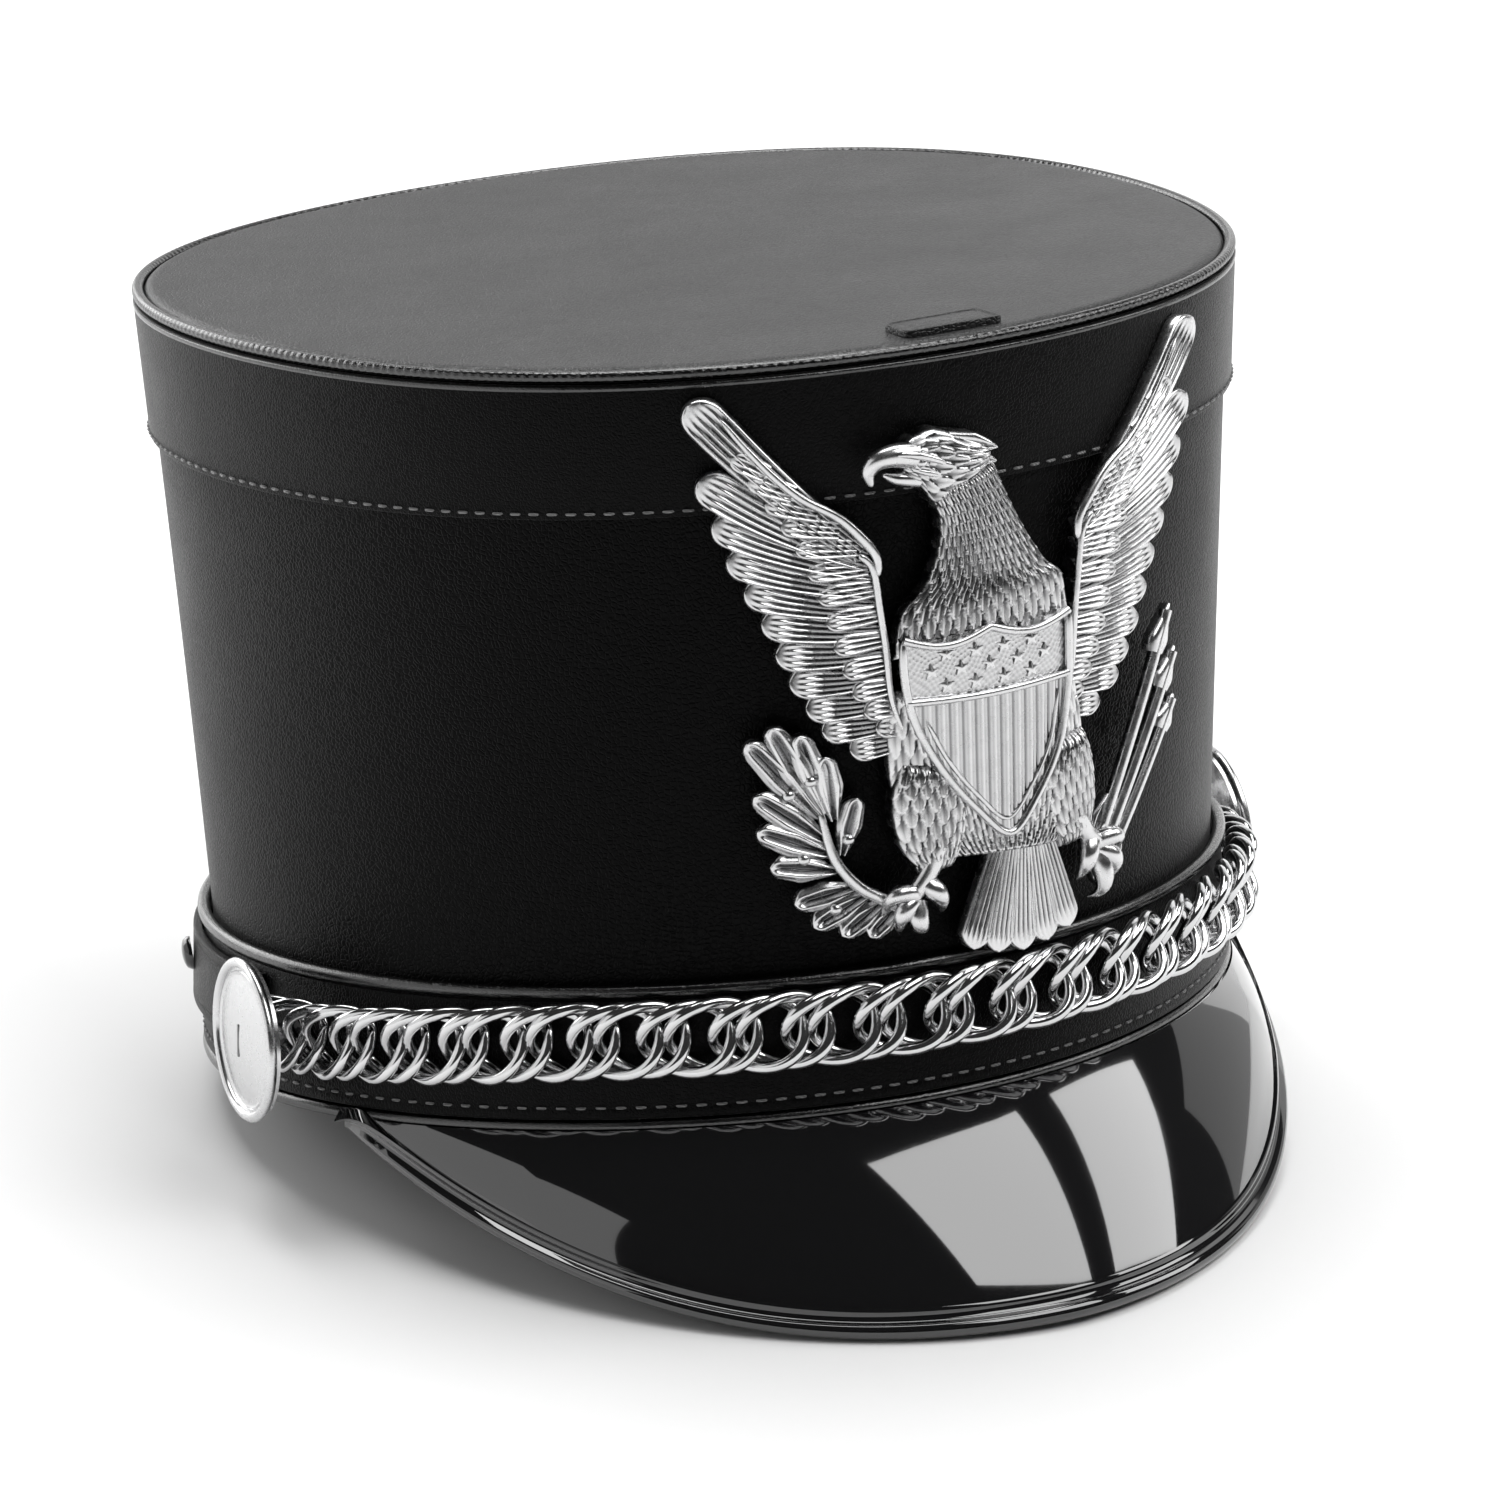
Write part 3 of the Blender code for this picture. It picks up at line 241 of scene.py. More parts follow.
LEAVES = [
    # tip across, tip up, root across, root up, width
    (-0.830, 0.420, -0.600, 0.285, 0.118),
    (-0.750, 0.442, -0.590, 0.288, 0.118),
    (-0.660, 0.425, -0.575, 0.290, 0.118),
    (-0.575, 0.385, -0.550, 0.275, 0.108),
    (-0.815, 0.330, -0.575, 0.240, 0.118),
    (-0.812, 0.270, -0.565, 0.218, 0.118),
    (-0.775, 0.208, -0.550, 0.190, 0.115),
    (-0.700, 0.140, -0.480, 0.160, 0.115),
    (-0.640, 0.098, -0.440, 0.145, 0.115),
    (-0.545, 0.078, -0.390, 0.128, 0.112),
    (-0.450, 0.070, -0.340, 0.115, 0.105),
    (-0.470, 0.310, -0.530, 0.215, 0.100),
]
STEM = [(-0.28, 0.098, 0.0016), (-0.38, 0.128, 0.0018), (-0.48, 0.160, 0.0019), (-0.56, 0.215, 0.0018),
        (-0.60, 0.300, 0.0014)]
BERRIES = [(-0.700, 0.325), (-0.625, 0.345), (-0.660, 0.215), (-0.505, 0.240), (-0.560, 0.125)]
ARROWS = [
    # tip across, tip up, butt across, butt up
    (0.865, 0.500, 0.455, 0.120),
    (0.905, 0.425, 0.475, 0.100),
    (0.905, 0.345, 0.495, 0.080),
]

# Camera, in the hat's own frame and in degrees, and the photograph's framing in its pixels
CAMERA_AZIMUTH, CAMERA_ELEVATION, CAMERA_ROLL = -26.732, 16.34, -2.803
CAMERA_TARGET = Vector((0.0, 0.0, 0.072))
CAMERA_DISTANCE = 1.17886
PHOTO_SIZE = 1500
FOCAL_PIXELS = 6652.859
CENTRE_ACROSS, CENTRE_DOWN = 700.766, 608.036
SENSOR_WIDTH = 36.0

# Studio
LIGHT_CENTRE = Vector((0.0, 0.0, 0.08))
FLOOR_DROP, FLOOR_HALF = -0.0002, 8.0
ROOM_LIGHT = 0.035
LIGHTS = [
    # name, azimuth and elevation, size, brightness, distance, offset within its plane, turn
    ("window, near pane", (45, 40), (1.2, 0.9), 4.3, 1.5, (-0.52, 0.23), -28.6),
    ("window, far pane", (45, 40), (0.74, 0.9), 4.3, 1.5, (0.71, 0.23), -28.6),
    ("soft box left", (-111, 16), (2.4, 1.1), 0.9),
    ("kicker behind left", (-162, 18), (1.5, 1.0), 3.1, 1.8),
    ("soft box right", (121, 6), (1.7, 0.8), 0.42),
    ("backdrop", (152, 16), (3.4, 1.6), 0.72, 2.2),
    ("soft box above", (165, 73), (1.3, 1.3), 5.6, 1.7),
]

# Directions and limits
UP = np.array((0.0, 0.0, 1.0))
TINY = 1e-12
POLE_RADIUS = 0.00002

# Fineness
RING_STEPS = 360
ROLL_STEPS = 14
PATH_STEPS = 800


def blend(start, end, share):
    """The value at a share of the way from start to end."""
    return start + (end - start) * share


def smooth(share):
    """A share eased at both ends, 3 s squared minus 2 s cubed, held within 0 and 1."""
    share = np.clip(share, 0, 1)
    return share * share * (3 - 2 * share)


def circle(steps):
    """Angles once round a circle."""
    return np.arange(steps) * 2 * math.pi / steps


def unit(vectors):
    """Vectors of length 1 in the directions of the given ones."""
    return vectors / np.maximum(np.linalg.norm(vectors, axis=-1, keepdims=True), TINY)


def outline(angle, height, outset=0.0):
    """Points of the crown's oval at angles and heights, moved out by an outset.

    x = half width . cos(angle) . (1 + egg . share . sin(angle)) + harmonic . cos(3 angle), and
    y = half length . sin(angle) + shift, where each value runs straight from foot to top.
    """
    angle, height = np.broadcast_arrays(np.asarray(angle, float), np.asarray(height, float))
    share = height / CROWN_HEIGHT
    half_width = blend(FOOT_WIDTH, TOP_WIDTH, share) / 2 + outset
    half_length = blend(FOOT_LENGTH, TOP_LENGTH, share) / 2 + outset
    harmonic = blend(FOOT_NARROWING, -TOP_SQUARENESS, share)
    across = half_width * np.cos(angle) * (1 + TOP_EGG * share * np.sin(angle))
    across = across + harmonic * np.cos(3 * angle)
    along = half_length * np.sin(angle) + blend(FOOT_SHIFT, TOP_SHIFT, share)
    slope = blend(FOOT_SLOPE, TOP_SLOPE, share)
    return np.stack([across, along, height + np.tan(slope) * along], axis=-1)


def flare(height):
    """How far the foot of the wall spreads beyond the straight oval at a height."""
    return WALL_FLARE * np.clip(1 - np.asarray(height, float) / HEADBAND_TOP, 0, None)


def headband_face(height):
    """Outset of the headband's outer face at a height."""
    return flare(height) + GAP + HEADBAND_THICKNESS


def peak_edge(turn, inset=0.0):
    """The peak's outer edge: a sloping superellipse whose quarters sag by the square of sin(2 turn)."""
    power = 2 / PEAK_SQUARENESS
    across = -(PEAK_HALF_WIDTH - inset) * np.sign(np.cos(turn)) * np.abs(np.cos(turn)) ** power
    reach = (PEAK_REACH - inset) * np.abs(np.sin(turn)) ** power
    along = PEAK_START - reach * math.cos(PEAK_PITCH)
    height = PEAK_START_HEIGHT - reach * math.sin(PEAK_PITCH) - PEAK_SAG * np.sin(2 * turn) ** 2
    return np.stack([across, along, height], axis=-1)


def peak_turns(steps):
    """Steps along the peak, without the last slivers at its two ends."""
    return np.linspace(PEAK_END_MARGIN, math.pi - PEAK_END_MARGIN, steps)


def find_stance():
    """The turn and the shift from the hat's upright frame to the row's frame.

    The turn is the least angle at which the peak's edge comes level with the back of the rim. The
    shift lays the upright top disc, once turned, on the CAD's own top disc.
    """
    edge = peak_edge(peak_turns(PATH_STEPS), PEAK_BINDING_RADIUS) - (0.0, 0.0, PEAK_BINDING_RADIUS)
    rim = outline(-FRONT, 0.0, headband_face(0.0) - RIM_ROLL_RADIUS)
    tilt = np.arctan2(edge[:, 2] - rim[2], rim[1] - edge[:, 1]).min()
    turn = Matrix.Rotation(tilt, 4, "X")
    angles = FRONT + circle(40)
    disc_edge = GAP + TOP_BAND_THICKNESS - 2 * TOP_WELT_RADIUS - GAP
    disc = outline(angles[:, None], [CROWN_HEIGHT - TOP_THICKNESS, CROWN_HEIGHT], disc_edge)
    disc = disc.reshape(-1, 3) @ np.array(turn.to_3x3()).T
    low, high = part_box("crown_top")
    middle = (disc.min(axis=0) + disc.max(axis=0)) / 2
    return Matrix.Translation((low + high) / 2 - Vector(middle)) @ turn


STANCE = find_stance()
STANCE_TURN = np.array(STANCE.to_3x3())
STANCE_SHIFT = np.array(STANCE.to_translation())


def loft(grid, ring=False):
    """Vertices and faces of one grid of points, or of a stack of equal grids.

    Each cell of the grid becomes a quad, and the last column joins the first. A ring's last row also
    joins its first, and otherwise one face caps each end.
    """
    grid = np.asarray(grid, float)
    grid = grid[None] if grid.ndim == 3 else grid
    count, rows, columns = grid.shape[:3]
    index = np.arange(rows * columns).reshape(rows, columns)
    ends = [] if ring else [index[0], index[-1][::-1]]
    if ring:
        index = np.concatenate([index, index[:1]])
    index = np.concatenate([index, index[:, :1]], axis=1)
    quads = np.stack([index[:-1, :-1], index[1:, :-1], index[1:, 1:], index[:-1, 1:]], axis=-1)
    offsets = np.arange(count)[:, None, None] * rows * columns
    faces = (quads.reshape(1, -1, 4) + offsets).reshape(-1, 4).tolist()
    for end in ends:
        faces += (end[None] + offsets[:, 0]).tolist()
    return grid.reshape(-1, 3), faces


def joined(parts):
    """Several pairs of vertices and faces as one pair."""
    points, faces, start = [], [], 0
    for part_points, part_faces in parts:
        points.append(part_points)
        faces += [[corner + start for corner in face] for face in part_faces] if start else part_faces
        start += len(part_points)
    return np.concatenate(points), faces


def add_piece(name, shape, slot, replaces=(), material=None, shade=None, sharp=50.0):
    """Put a shape into the row's frame as a mesh in its slot's finish that rides on the hat's body."""
    points, faces = shape
    mesh = bpy.data.meshes.new(name)
    mesh.from_pydata((points @ STANCE_TURN.T + STANCE_SHIFT).tolist(), [], faces)
    bm = bmesh.new()
    bm.from_mesh(mesh)
    bmesh.ops.recalc_face_normals(bm, faces=bm.faces)
    bm.to_mesh(mesh)
    bm.free()
    mesh.shade_smooth()
    mesh.set_sharp_from_angle(angle=math.radians(sharp))
    # The shade is painted shade for the badge's grooves and hollows, kept as the recess attribute.
    if shade is not None:
        attribute = mesh.attributes.new("recess", "FLOAT", "POINT")
        attribute.data.foreach_set("value", np.asarray(shade, np.float32))
    mesh.materials.append(material or FINISHES[slot])
    piece = bpy.data.objects.new(name, mesh)
    bpy.context.scene.collection.objects.link(piece)
    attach(piece, "root")
    if replaces:
        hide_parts(*replaces)


def rounded(corners, radius, steps=4):
    """A closed profile with each corner rounded.

    A corner gives way to an arc as a quadratic curve from a point one radius before it to a point
    one radius after it, with the corner itself as the control point.
    """
    corners = np.array(corners, float)
    before, after = np.roll(corners, 1, axis=0), np.roll(corners, -1, axis=0)
    into, out = before - corners, after - corners
    reach_in = np.minimum(radius / np.linalg.norm(into, axis=1, keepdims=True), 0.45)
    reach_out = np.minimum(radius / np.linalg.norm(out, axis=1, keepdims=True), 0.45)
    start, end = corners + into * reach_in, corners + out * reach_out
    t = np.linspace(0, 1, steps + 1)[None, :, None]
    curve = (1 - t) ** 2 * start[:, None] + 2 * t * (1 - t) * corners[:, None] + t * t * end[:, None]
    return curve.reshape(-1, 2)


def swept_ring(profile, steps=RING_STEPS, ripple=0.0, ripple_count=0):
    """A closed profile of heights and outsets carried once round the crown.

    A ripple adds ripple . sin(count . angle) to each outset.
    """
    angles = FRONT + circle(steps)[:, None]
    heights, outsets = np.array(profile).T
    outsets = outsets + ripple * np.sin(ripple_count * angles)
    return loft(outline(angles, heights, outsets), ring=True)


def roll(height, outset, radius):
    """A round profile about a height and an outset."""
    turns = circle(ROLL_STEPS)
    return np.stack([height + radius * np.sin(turns), outset + radius * np.cos(turns)], axis=1)


def crown_shell():
    """The tapered wall, its upper and lower edges rounded, with the inside face a wall away."""
    foot = 2 * RIM_ROLL_RADIUS + GAP
    top = CROWN_HEIGHT - TOP_THICKNESS - GAP
    rows = [foot, foot + EDGE_ROUND, HEADBAND_TOP, HEADBAND_TOP + WALL_FIRST_ROW]
    rows = np.array([*rows, *np.linspace(HEADBAND_TOP + WALL_NEXT_ROW, top - EDGE_ROUND, 14), top])
    outside = np.stack([rows, flare(rows)], axis=1)
    inside = np.stack([rows, flare(rows) - WALL], axis=1)[::-1]
    return swept_ring(np.concatenate([outside, inside]))


def top_welt_outset():
    """The top welt's middle, flush outside with the top band."""
    return GAP + TOP_BAND_THICKNESS - TOP_WELT_RADIUS


def top_disc():
    """The oval disc: flat in the field, dipping by a rounded edge into the groove beside the welt.

    A point is centre + share . (edge - centre). A faint dome of 1 - share squared lifts the field,
    and the drop grows with the cube of how far the point lies into the outer rounding.
    """
    edge = top_welt_outset() - TOP_WELT_RADIUS - GAP
    rim = outline(FRONT + circle(RING_STEPS)[None], CROWN_HEIGHT, edge)
    centre = rim.mean(axis=1, keepdims=True)
    share = np.concatenate([np.linspace(0.03, 0.94, 16), np.linspace(0.955, 1.0, 9)])[:, None]
    face = centre + (rim - centre) * share[..., None]
    dip = np.clip((share - 1 + DISC_ROUNDING) / DISC_ROUNDING, 0, 1) ** 3 * DISC_DIP
    face[..., 2] += DISC_DOME * (1 - share ** 2) - dip
    return loft(np.concatenate([face, rim - (0.0, 0.0, TOP_THICKNESS)]))


def top_band():
    """The band round the upper crown, its upper edge rolled and its lower edge turned under."""
    upper = CROWN_HEIGHT - 2 * TOP_WELT_RADIUS - GAP
    lower = CROWN_HEIGHT - TOP_BAND_DEPTH
    face = GAP + TOP_BAND_THICKNESS
    profile = rounded([(lower, GAP), (lower, face), (upper, face), (upper, GAP)], EDGE_ROUND)
    return swept_ring(profile)


def headband():
    """The band round the foot, with a shallow crease pressed along its stitches."""
    lower, crease = 2 * RIM_ROLL_RADIUS + GAP, HEADBAND_STITCH_HEIGHT
    rows = np.array([lower, crease - CREASE_HALF, crease, crease + CREASE_HALF, HEADBAND_TOP])
    sunk = np.array([0.0, 0.0, CREASE_DEPTH, 0.0, 0.0])
    outside = np.stack([rows, headband_face(rows) - sunk], axis=1)
    inside = [(HEADBAND_TOP, GAP), (lower, flare(lower) + GAP)]
    return swept_ring(rounded(np.concatenate([outside, inside]), EDGE_ROUND))


def rim_binding():
    """The bound rim under the wall and the headband, a half roll outside and flat beneath."""
    radius = RIM_ROLL_RADIUS
    middle = headband_face(0.0) - radius
    inner = flare(0.0) - WALL
    turns = np.linspace(-math.pi / 2, math.pi / 2, 9)
    outside = np.stack([radius + radius * np.sin(turns), middle + radius * np.cos(turns)], axis=1)
    inside = [(2 * radius, inner + EDGE_ROUND), (2 * radius - EDGE_ROUND, inner),
              (EDGE_ROUND, inner), (0.0, inner + EDGE_ROUND)]
    return swept_ring(np.concatenate([outside, inside]))


def stitches_round(height, outset):
    """Thread stitches at an even pitch round the crown, capsules that arch out and dip at their ends.

    A stitch's middle line runs along the outline over its length, with share from -1 to 1, and its
    lift is radius . (0.5 - 1.3 share^4). Its round section shrinks by the root of 1.02 - share^4.
    """
    level = height / CROWN_HEIGHT
    girth = math.pi / 2 * (blend(FOOT_WIDTH, TOP_WIDTH, level) + blend(FOOT_LENGTH, TOP_LENGTH, level))
    count = int(girth / STITCH_PITCH)
    angles = FRONT + (np.arange(count) + 0.5) * 2 * math.pi / count
    share = np.linspace(-1, 1, STITCH_RINGS)
    narrowing = np.sqrt(1.02 - share ** 4)[:, None]
    spin = circle(STITCH_SIDES)
    step = 0.0005
    ahead = outline(angles + step, height, outset) - outline(angles - step, height, outset)
    speed = np.linalg.norm(ahead, axis=1) / (2 * step)
    along = angles[:, None] + share * (STITCH_LENGTH / 2 / speed)[:, None]
    lift = STITCH_RADIUS * (0.5 - 1.3 * share[:, None] ** 4)
    outsets = outset + narrowing * np.cos(spin) * STITCH_RADIUS + lift
    heights = height + narrowing * np.sin(spin) * STITCH_RADIUS
    return loft(outline(along[..., None], heights, outsets))


def plume_flap():
    """The tab: a rounded rectangle a little domed, with a raised edge, just over the disc."""
    front = outline(FRONT, CROWN_HEIGHT, top_welt_outset())[1] + FLAP_SETBACK
    half = FLAP_WIDTH / 2
    plan = rounded([(-half, 0), (half, 0), (half, FLAP_DEPTH), (-half, FLAP_DEPTH)], FLAP_CORNER, 8)
    middle = np.array((0.0, FLAP_DEPTH / 2))
    rows = np.array(FLAP_ROWS)
    flat = middle + (plan - middle)[None] * rows[:, :1, None]
    along = front + flat[..., 1]
    level = CROWN_HEIGHT + DISC_DOME * (1 - FLAP_PLACE) + math.tan(TOP_SLOPE) * along
    return loft(np.stack([flat[..., 0], along, level + rows[:, 1:] * FLAP_THICKNESS], axis=-1))


def peak_join(turn):
    """The line on the rim that the peak is sewn to, from side to side round the front."""
    half_length = FOOT_LENGTH / 2 + headband_face(0.0)
    side = math.asin((FOOT_SHIFT - PEAK_START) / half_length)
    angle = blend(-math.pi + side, -side, turn / math.pi)
    return outline(angle, PEAK_JOIN_HEIGHT, headband_face(0.0) + GAP)


def peak_face(turns, rows):
    """Points and normals of the peak's upper face.

    A row share of 0 is the join and 1 the edge, and the camber rises by 4 s (1 - s) between them.
    """
    inner, outer = peak_join(turns), peak_edge(turns, PEAK_BINDING_RADIUS)
    width = np.linalg.norm(outer - inner, axis=1, keepdims=True)
    share = rows[None, :, None]
    face = inner[:, None] * (1 - share) + outer[:, None] * share
    normal = unit(np.cross(np.gradient(face, axis=0), np.gradient(face, axis=1)))
    normal *= np.sign(normal[..., 2:].mean())
    bulge = np.minimum(PEAK_CAMBER, PEAK_CAMBER_LIMIT * width)[:, None]
    return face + 4 * share * (1 - share) * bulge * normal, normal


def peak():
    """The patent leather sheet from the rim to inside its binding."""
    face, normal = peak_face(peak_turns(220), np.linspace(0, 0.99, 40))
    under = face - PEAK_THICKNESS * normal
    under[:, 0] = face[:, 0] - (0.0, 0.0, PEAK_THICKNESS)
    return loft(np.concatenate([face, under[:, ::-1]], axis=1))


def peak_binding():
    """The binding: a roll along the edge whose flange lies on the peak and ends in a raised line.

    At each step along the edge the section stands in the plane of the inward direction and the
    peak's normal. Its roll is an arc about the edge, and the flange is a flat step with a bead.
    """
    turns = peak_turns(320)
    edge = peak_edge(turns, PEAK_BINDING_RADIUS)
    face, normals = peak_face(turns, np.linspace(0, 1, 41))
    inward = unit(face[:, -8] - edge)
    upward = normals[:, -2]
    upward = unit(upward - (upward * inward).sum(axis=1, keepdims=True) * inward)
    radius, bead, step, round_off = PEAK_BINDING_RADIUS, BINDING_WIDTH, BINDING_STEP, BINDING_ROUND
    section = [(radius * math.cos(t), radius * math.sin(t)) for t in np.radians(np.linspace(55, 305, 17))]
    section += [  # beneath the peak
        (radius, -radius), (bead, -PEAK_THICKNESS - round_off),
        (bead + round_off, -PEAK_THICKNESS + round_off)]
    section += [  # the raised line and the flange over the peak
        (bead + 2 * round_off, 0.0), (bead + 2 * round_off, step), (bead, step * 1.35),
        (bead - 2.5 * round_off, step), (bead - 4.5 * round_off, step * 0.35),
        (radius * 1.15, step * 0.3), (radius * 0.8, step)]
    section = np.array(section)[None]
    return loft(edge[:, None] + section[..., :1] * inward[:, None] + section[..., 1:] * upward[:, None])


def distances(points):
    """Distances along a line of points."""
    return np.concatenate([[0], np.cumsum(np.linalg.norm(np.diff(points, axis=0), axis=1))])


def chain_route():
    """Distances along the chain's route with points and outward normals there."""
    angle = np.linspace(button_angle(-1), button_angle(1), PATH_STEPS)
    share = np.linspace(0, 1, PATH_STEPS)
    rise = smooth(np.minimum(share, 1 - share) / CHAIN_RISE_SHARE)
    height = blend(BUTTON_HEIGHT, CHAIN_FRONT_HEIGHT, rise)
    points = outline(angle, height, headband_face(height) + GAP + LINK_TWIST + LINK_WIRE_RADIUS)
    return distances(points), points, unit(np.cross(np.gradient(points, axis=0), UP))


def bend_to_chain(flat):
    """Carry points given by distance, rise and stand-off onto the chain's route."""
    distance, points, normals = chain_route()
    at, out = (np.stack([np.interp(flat[..., 0], distance, values[:, i]) for i in range(3)], axis=-1)
               for values in (points, normals))
    beyond = np.minimum(flat[..., :1], 0) + np.maximum(flat[..., :1] - distance[-1], 0)
    return at + np.cross(UP, out) * beyond + flat[..., 1:2] * UP + flat[..., 2:3] * out


def pair_starts():
    """Middles of each pair's first link, so that a shank stands between the wires at each end."""
    length = chain_route()[0][-1]
    steps = max(2, round(length / LINK_PITCH))
    centred = LINK_LENGTH / 2 - LINK_WIRE_RADIUS - PAIR_SPACING / 2
    first = (centred - (length - PAIR_SPACING) / (2 * steps)) / (1 - 1 / steps)
    return np.linspace(first, length - first - PAIR_SPACING, steps + 1)


def link_rings(middles, proud):
    """Curb links at the middles: oval wire rings whose quarters lean in and out.

    A ring's line is (a cos t, b sin t, -twist . sin 2t), and its section is an ellipse carried
    square to that line, pressed a little flat on its face as curb links are.
    """
    turn = circle(LINK_STEPS)
    line = np.stack([
        (LINK_LENGTH / 2 - LINK_WIRE_RADIUS) * np.cos(turn),
        (LINK_HEIGHT / 2 - LINK_WIRE_RADIUS) * np.sin(turn), proud - LINK_TWIST * np.sin(2 * turn)], axis=1)
    tangent = np.roll(line, -1, axis=0) - np.roll(line, 1, axis=0)
    first = unit(np.cross(tangent, UP))[:, None]
    second = unit(np.cross(tangent, first[:, 0]))[:, None]
    spin = circle(LINK_SIDES)[:, None]
    wire = np.cos(spin) * first * LINK_SECTION[0] + np.sin(spin) * second * LINK_SECTION[1]
    ring = line[:, None] + LINK_WIRE_RADIUS * LINK_WIRE_SHARE * wire
    links = np.broadcast_to(ring, (len(middles), *ring.shape)).copy()
    links[..., 0] += middles[:, None, None]
    return loft(bend_to_chain(links), ring=True)


def chain():
    """Pairs of curb links, the first of each pair standing a little further out."""
    starts = pair_starts()
    return joined([link_rings(starts, LINK_STAGGER), link_rings(starts + PAIR_SPACING, 0.0)])


def turned(profile, steps):
    """A solid of revolution about +Z from radii and heights that start and end on the axis."""
    spin = circle(steps)
    radii, heights = np.array(profile).T[..., None]
    radii = np.maximum(radii, POLE_RADIUS)
    return loft(np.stack([np.cos(spin) * radii, np.sin(spin) * radii, heights + 0 * spin], axis=-1))


def seated(shape, angle, height, outset, lean):
    """Stand a turned piece on the headband with its axis pointing out."""
    step = 0.001
    place = outline(angle, height, outset)
    ahead = outline(angle + step, height, outset) - outline(angle - step, height, outset)
    out = np.cross(ahead, UP)
    heading = math.atan2(out[1], out[0])
    seat = Matrix.Rotation(heading, 3, "Z") @ Matrix.Rotation(math.pi / 2 - lean, 3, "Y")
    points, faces = shape
    return points @ np.array(seat).T + place, faces


def side_angle(side, forward):
    """The angle on the crown's left (-1) or right (+1) side, moved forward by an angle."""
    return -forward if side > 0 else -math.pi + forward


def button_angle(side):
    """The angle at which the left (-1) or right (+1) button's shank stands."""
    return side_angle(side, RIGHT_BUTTON_FORWARD if side > 0 else LEFT_BUTTON_FORWARD)


def button_turn(side):
    """How far a button's head is turned back by the chain under its front half."""
    return 0.0 if side > 0 else LEFT_BUTTON_TURN


def chain_proud():
    """How far the chain's outermost points stand off the headband."""
    return 2 * (LINK_TWIST + LINK_WIRE_RADIUS) + LINK_STAGGER + GAP


def button_seat():
    """Outset at which a button's axis starts, clear of the sloping headband."""
    clear = SHANK_RADIUS * (WALL_FLARE / HEADBAND_TOP + math.tan(BUTTON_LEAN))
    return headband_face(BUTTON_HEIGHT) + clear


def button_back(side):
    """How far along its axis a button's head starts: clear of the chain, for all its lean and turn."""
    lean_rise = LINK_HEIGHT / 2 * math.tan(BUTTON_LEAN)
    turn_rise = END_LINK_SHARE * LINK_LENGTH * math.tan(button_turn(side))
    return chain_proud() + GAP + lean_rise + turn_rise


def on_button(shape, side):
    """Turn the part of a shape beyond the shank's end, and stand the shape at that side's button."""
    points, faces = shape
    turn, back = button_turn(side), button_back(side)
    along, out = points[:, 1], points[:, 2] - back
    beyond = out > -GAP
    points = points.copy()
    points[:, 1] = np.where(beyond, along * math.cos(turn) - out * math.sin(turn), along)
    points[:, 2] = back + np.where(beyond, along * math.sin(turn) + out * math.cos(turn), out)
    return seated((points, faces), button_angle(side), BUTTON_HEIGHT, button_seat(), BUTTON_LEAN)


def side_button(side):
    """A round button: a shank, a thin body with a rolled rim, a fine ring and a low dome."""
    back, rim = button_back(side), BUTTON_RIM_RADIUS
    face, crest = back + BUTTON_THICKNESS, BUTTON_RADIUS - rim
    turns = np.linspace(-math.pi / 2, math.pi, 13)
    edge = [(crest + rim * math.cos(t), face + rim * math.sin(t)) for t in turns]
    inside = crest - rim
    ring = [(inside * share, face + rise) for share, rise in BUTTON_RING]
    dome = [(inside * s * BUTTON_DOME_SHARE, face + BUTTON_DOME * (1 - s * s)) for s in np.linspace(1, 0, 16)]
    profile = [(0.0, GAP), (SHANK_RADIUS, GAP), (SHANK_RADIUS, back), (crest, back), *edge, *ring, *dome]
    return on_button(turned(profile, 72), side)


def button_slot_shade(side):
    """The slot across the middle of a button's face as a black bar set into the dome: painted shade where the
    slot's hollow is.
    """
    length, width = SLOT_LENGTH / 2, SLOT_WIDTH / 2
    plan = rounded([(-length, -width), (length, -width), (length, width), (-length, width)], SLOT_CORNER)
    top = button_back(side) + BUTTON_THICKNESS + BUTTON_DOME
    levels = np.array([top - SLOT_DEPTH, top + SLOT_PROUD])[:, None]
    return on_button(loft(np.stack(np.broadcast_arrays(plan[:, 0], plan[:, 1], levels), axis=-1)), side)


def strap_face(height):
    """Outset of the strap's inner face at a height."""
    return headband_face(height) + GAP


def strap_ends():
    """Angles at which the strap starts and stops behind the buttons."""
    past_link = (LINK_LENGTH / 2 - pair_starts()[0] + 3 * GAP) / (FOOT_LENGTH / 2)
    return button_angle(1) + past_link, button_angle(-1) + 2 * math.pi - past_link


def chin_strap():
    """The strap stowed round the back: a flat band with rounded edges and a pressed line near each."""
    lower, upper = STRAP_HEIGHT - STRAP_WIDTH / 2, STRAP_HEIGHT + STRAP_WIDTH / 2
    line = np.array([-1, 0, 1]) * STRAP_LINE_HALF
    rows = np.array([lower, *(lower + STRAP_LINE_INSET + line), *(upper - STRAP_LINE_INSET + line), upper])
    sunk = np.array([0, 0, 1, 0, 0, 1, 0, 0]) * STRAP_LINE_DEPTH
    outside = np.stack([rows, strap_face(rows) + STRAP_THICKNESS - sunk], axis=1)
    inside = [(upper, strap_face(upper)), (lower, strap_face(lower))]
    heights, outsets = rounded(np.concatenate([outside, inside]), EDGE_ROUND, 3).T
    return loft(outline(np.linspace(*strap_ends(), 220)[:, None], heights, outsets))


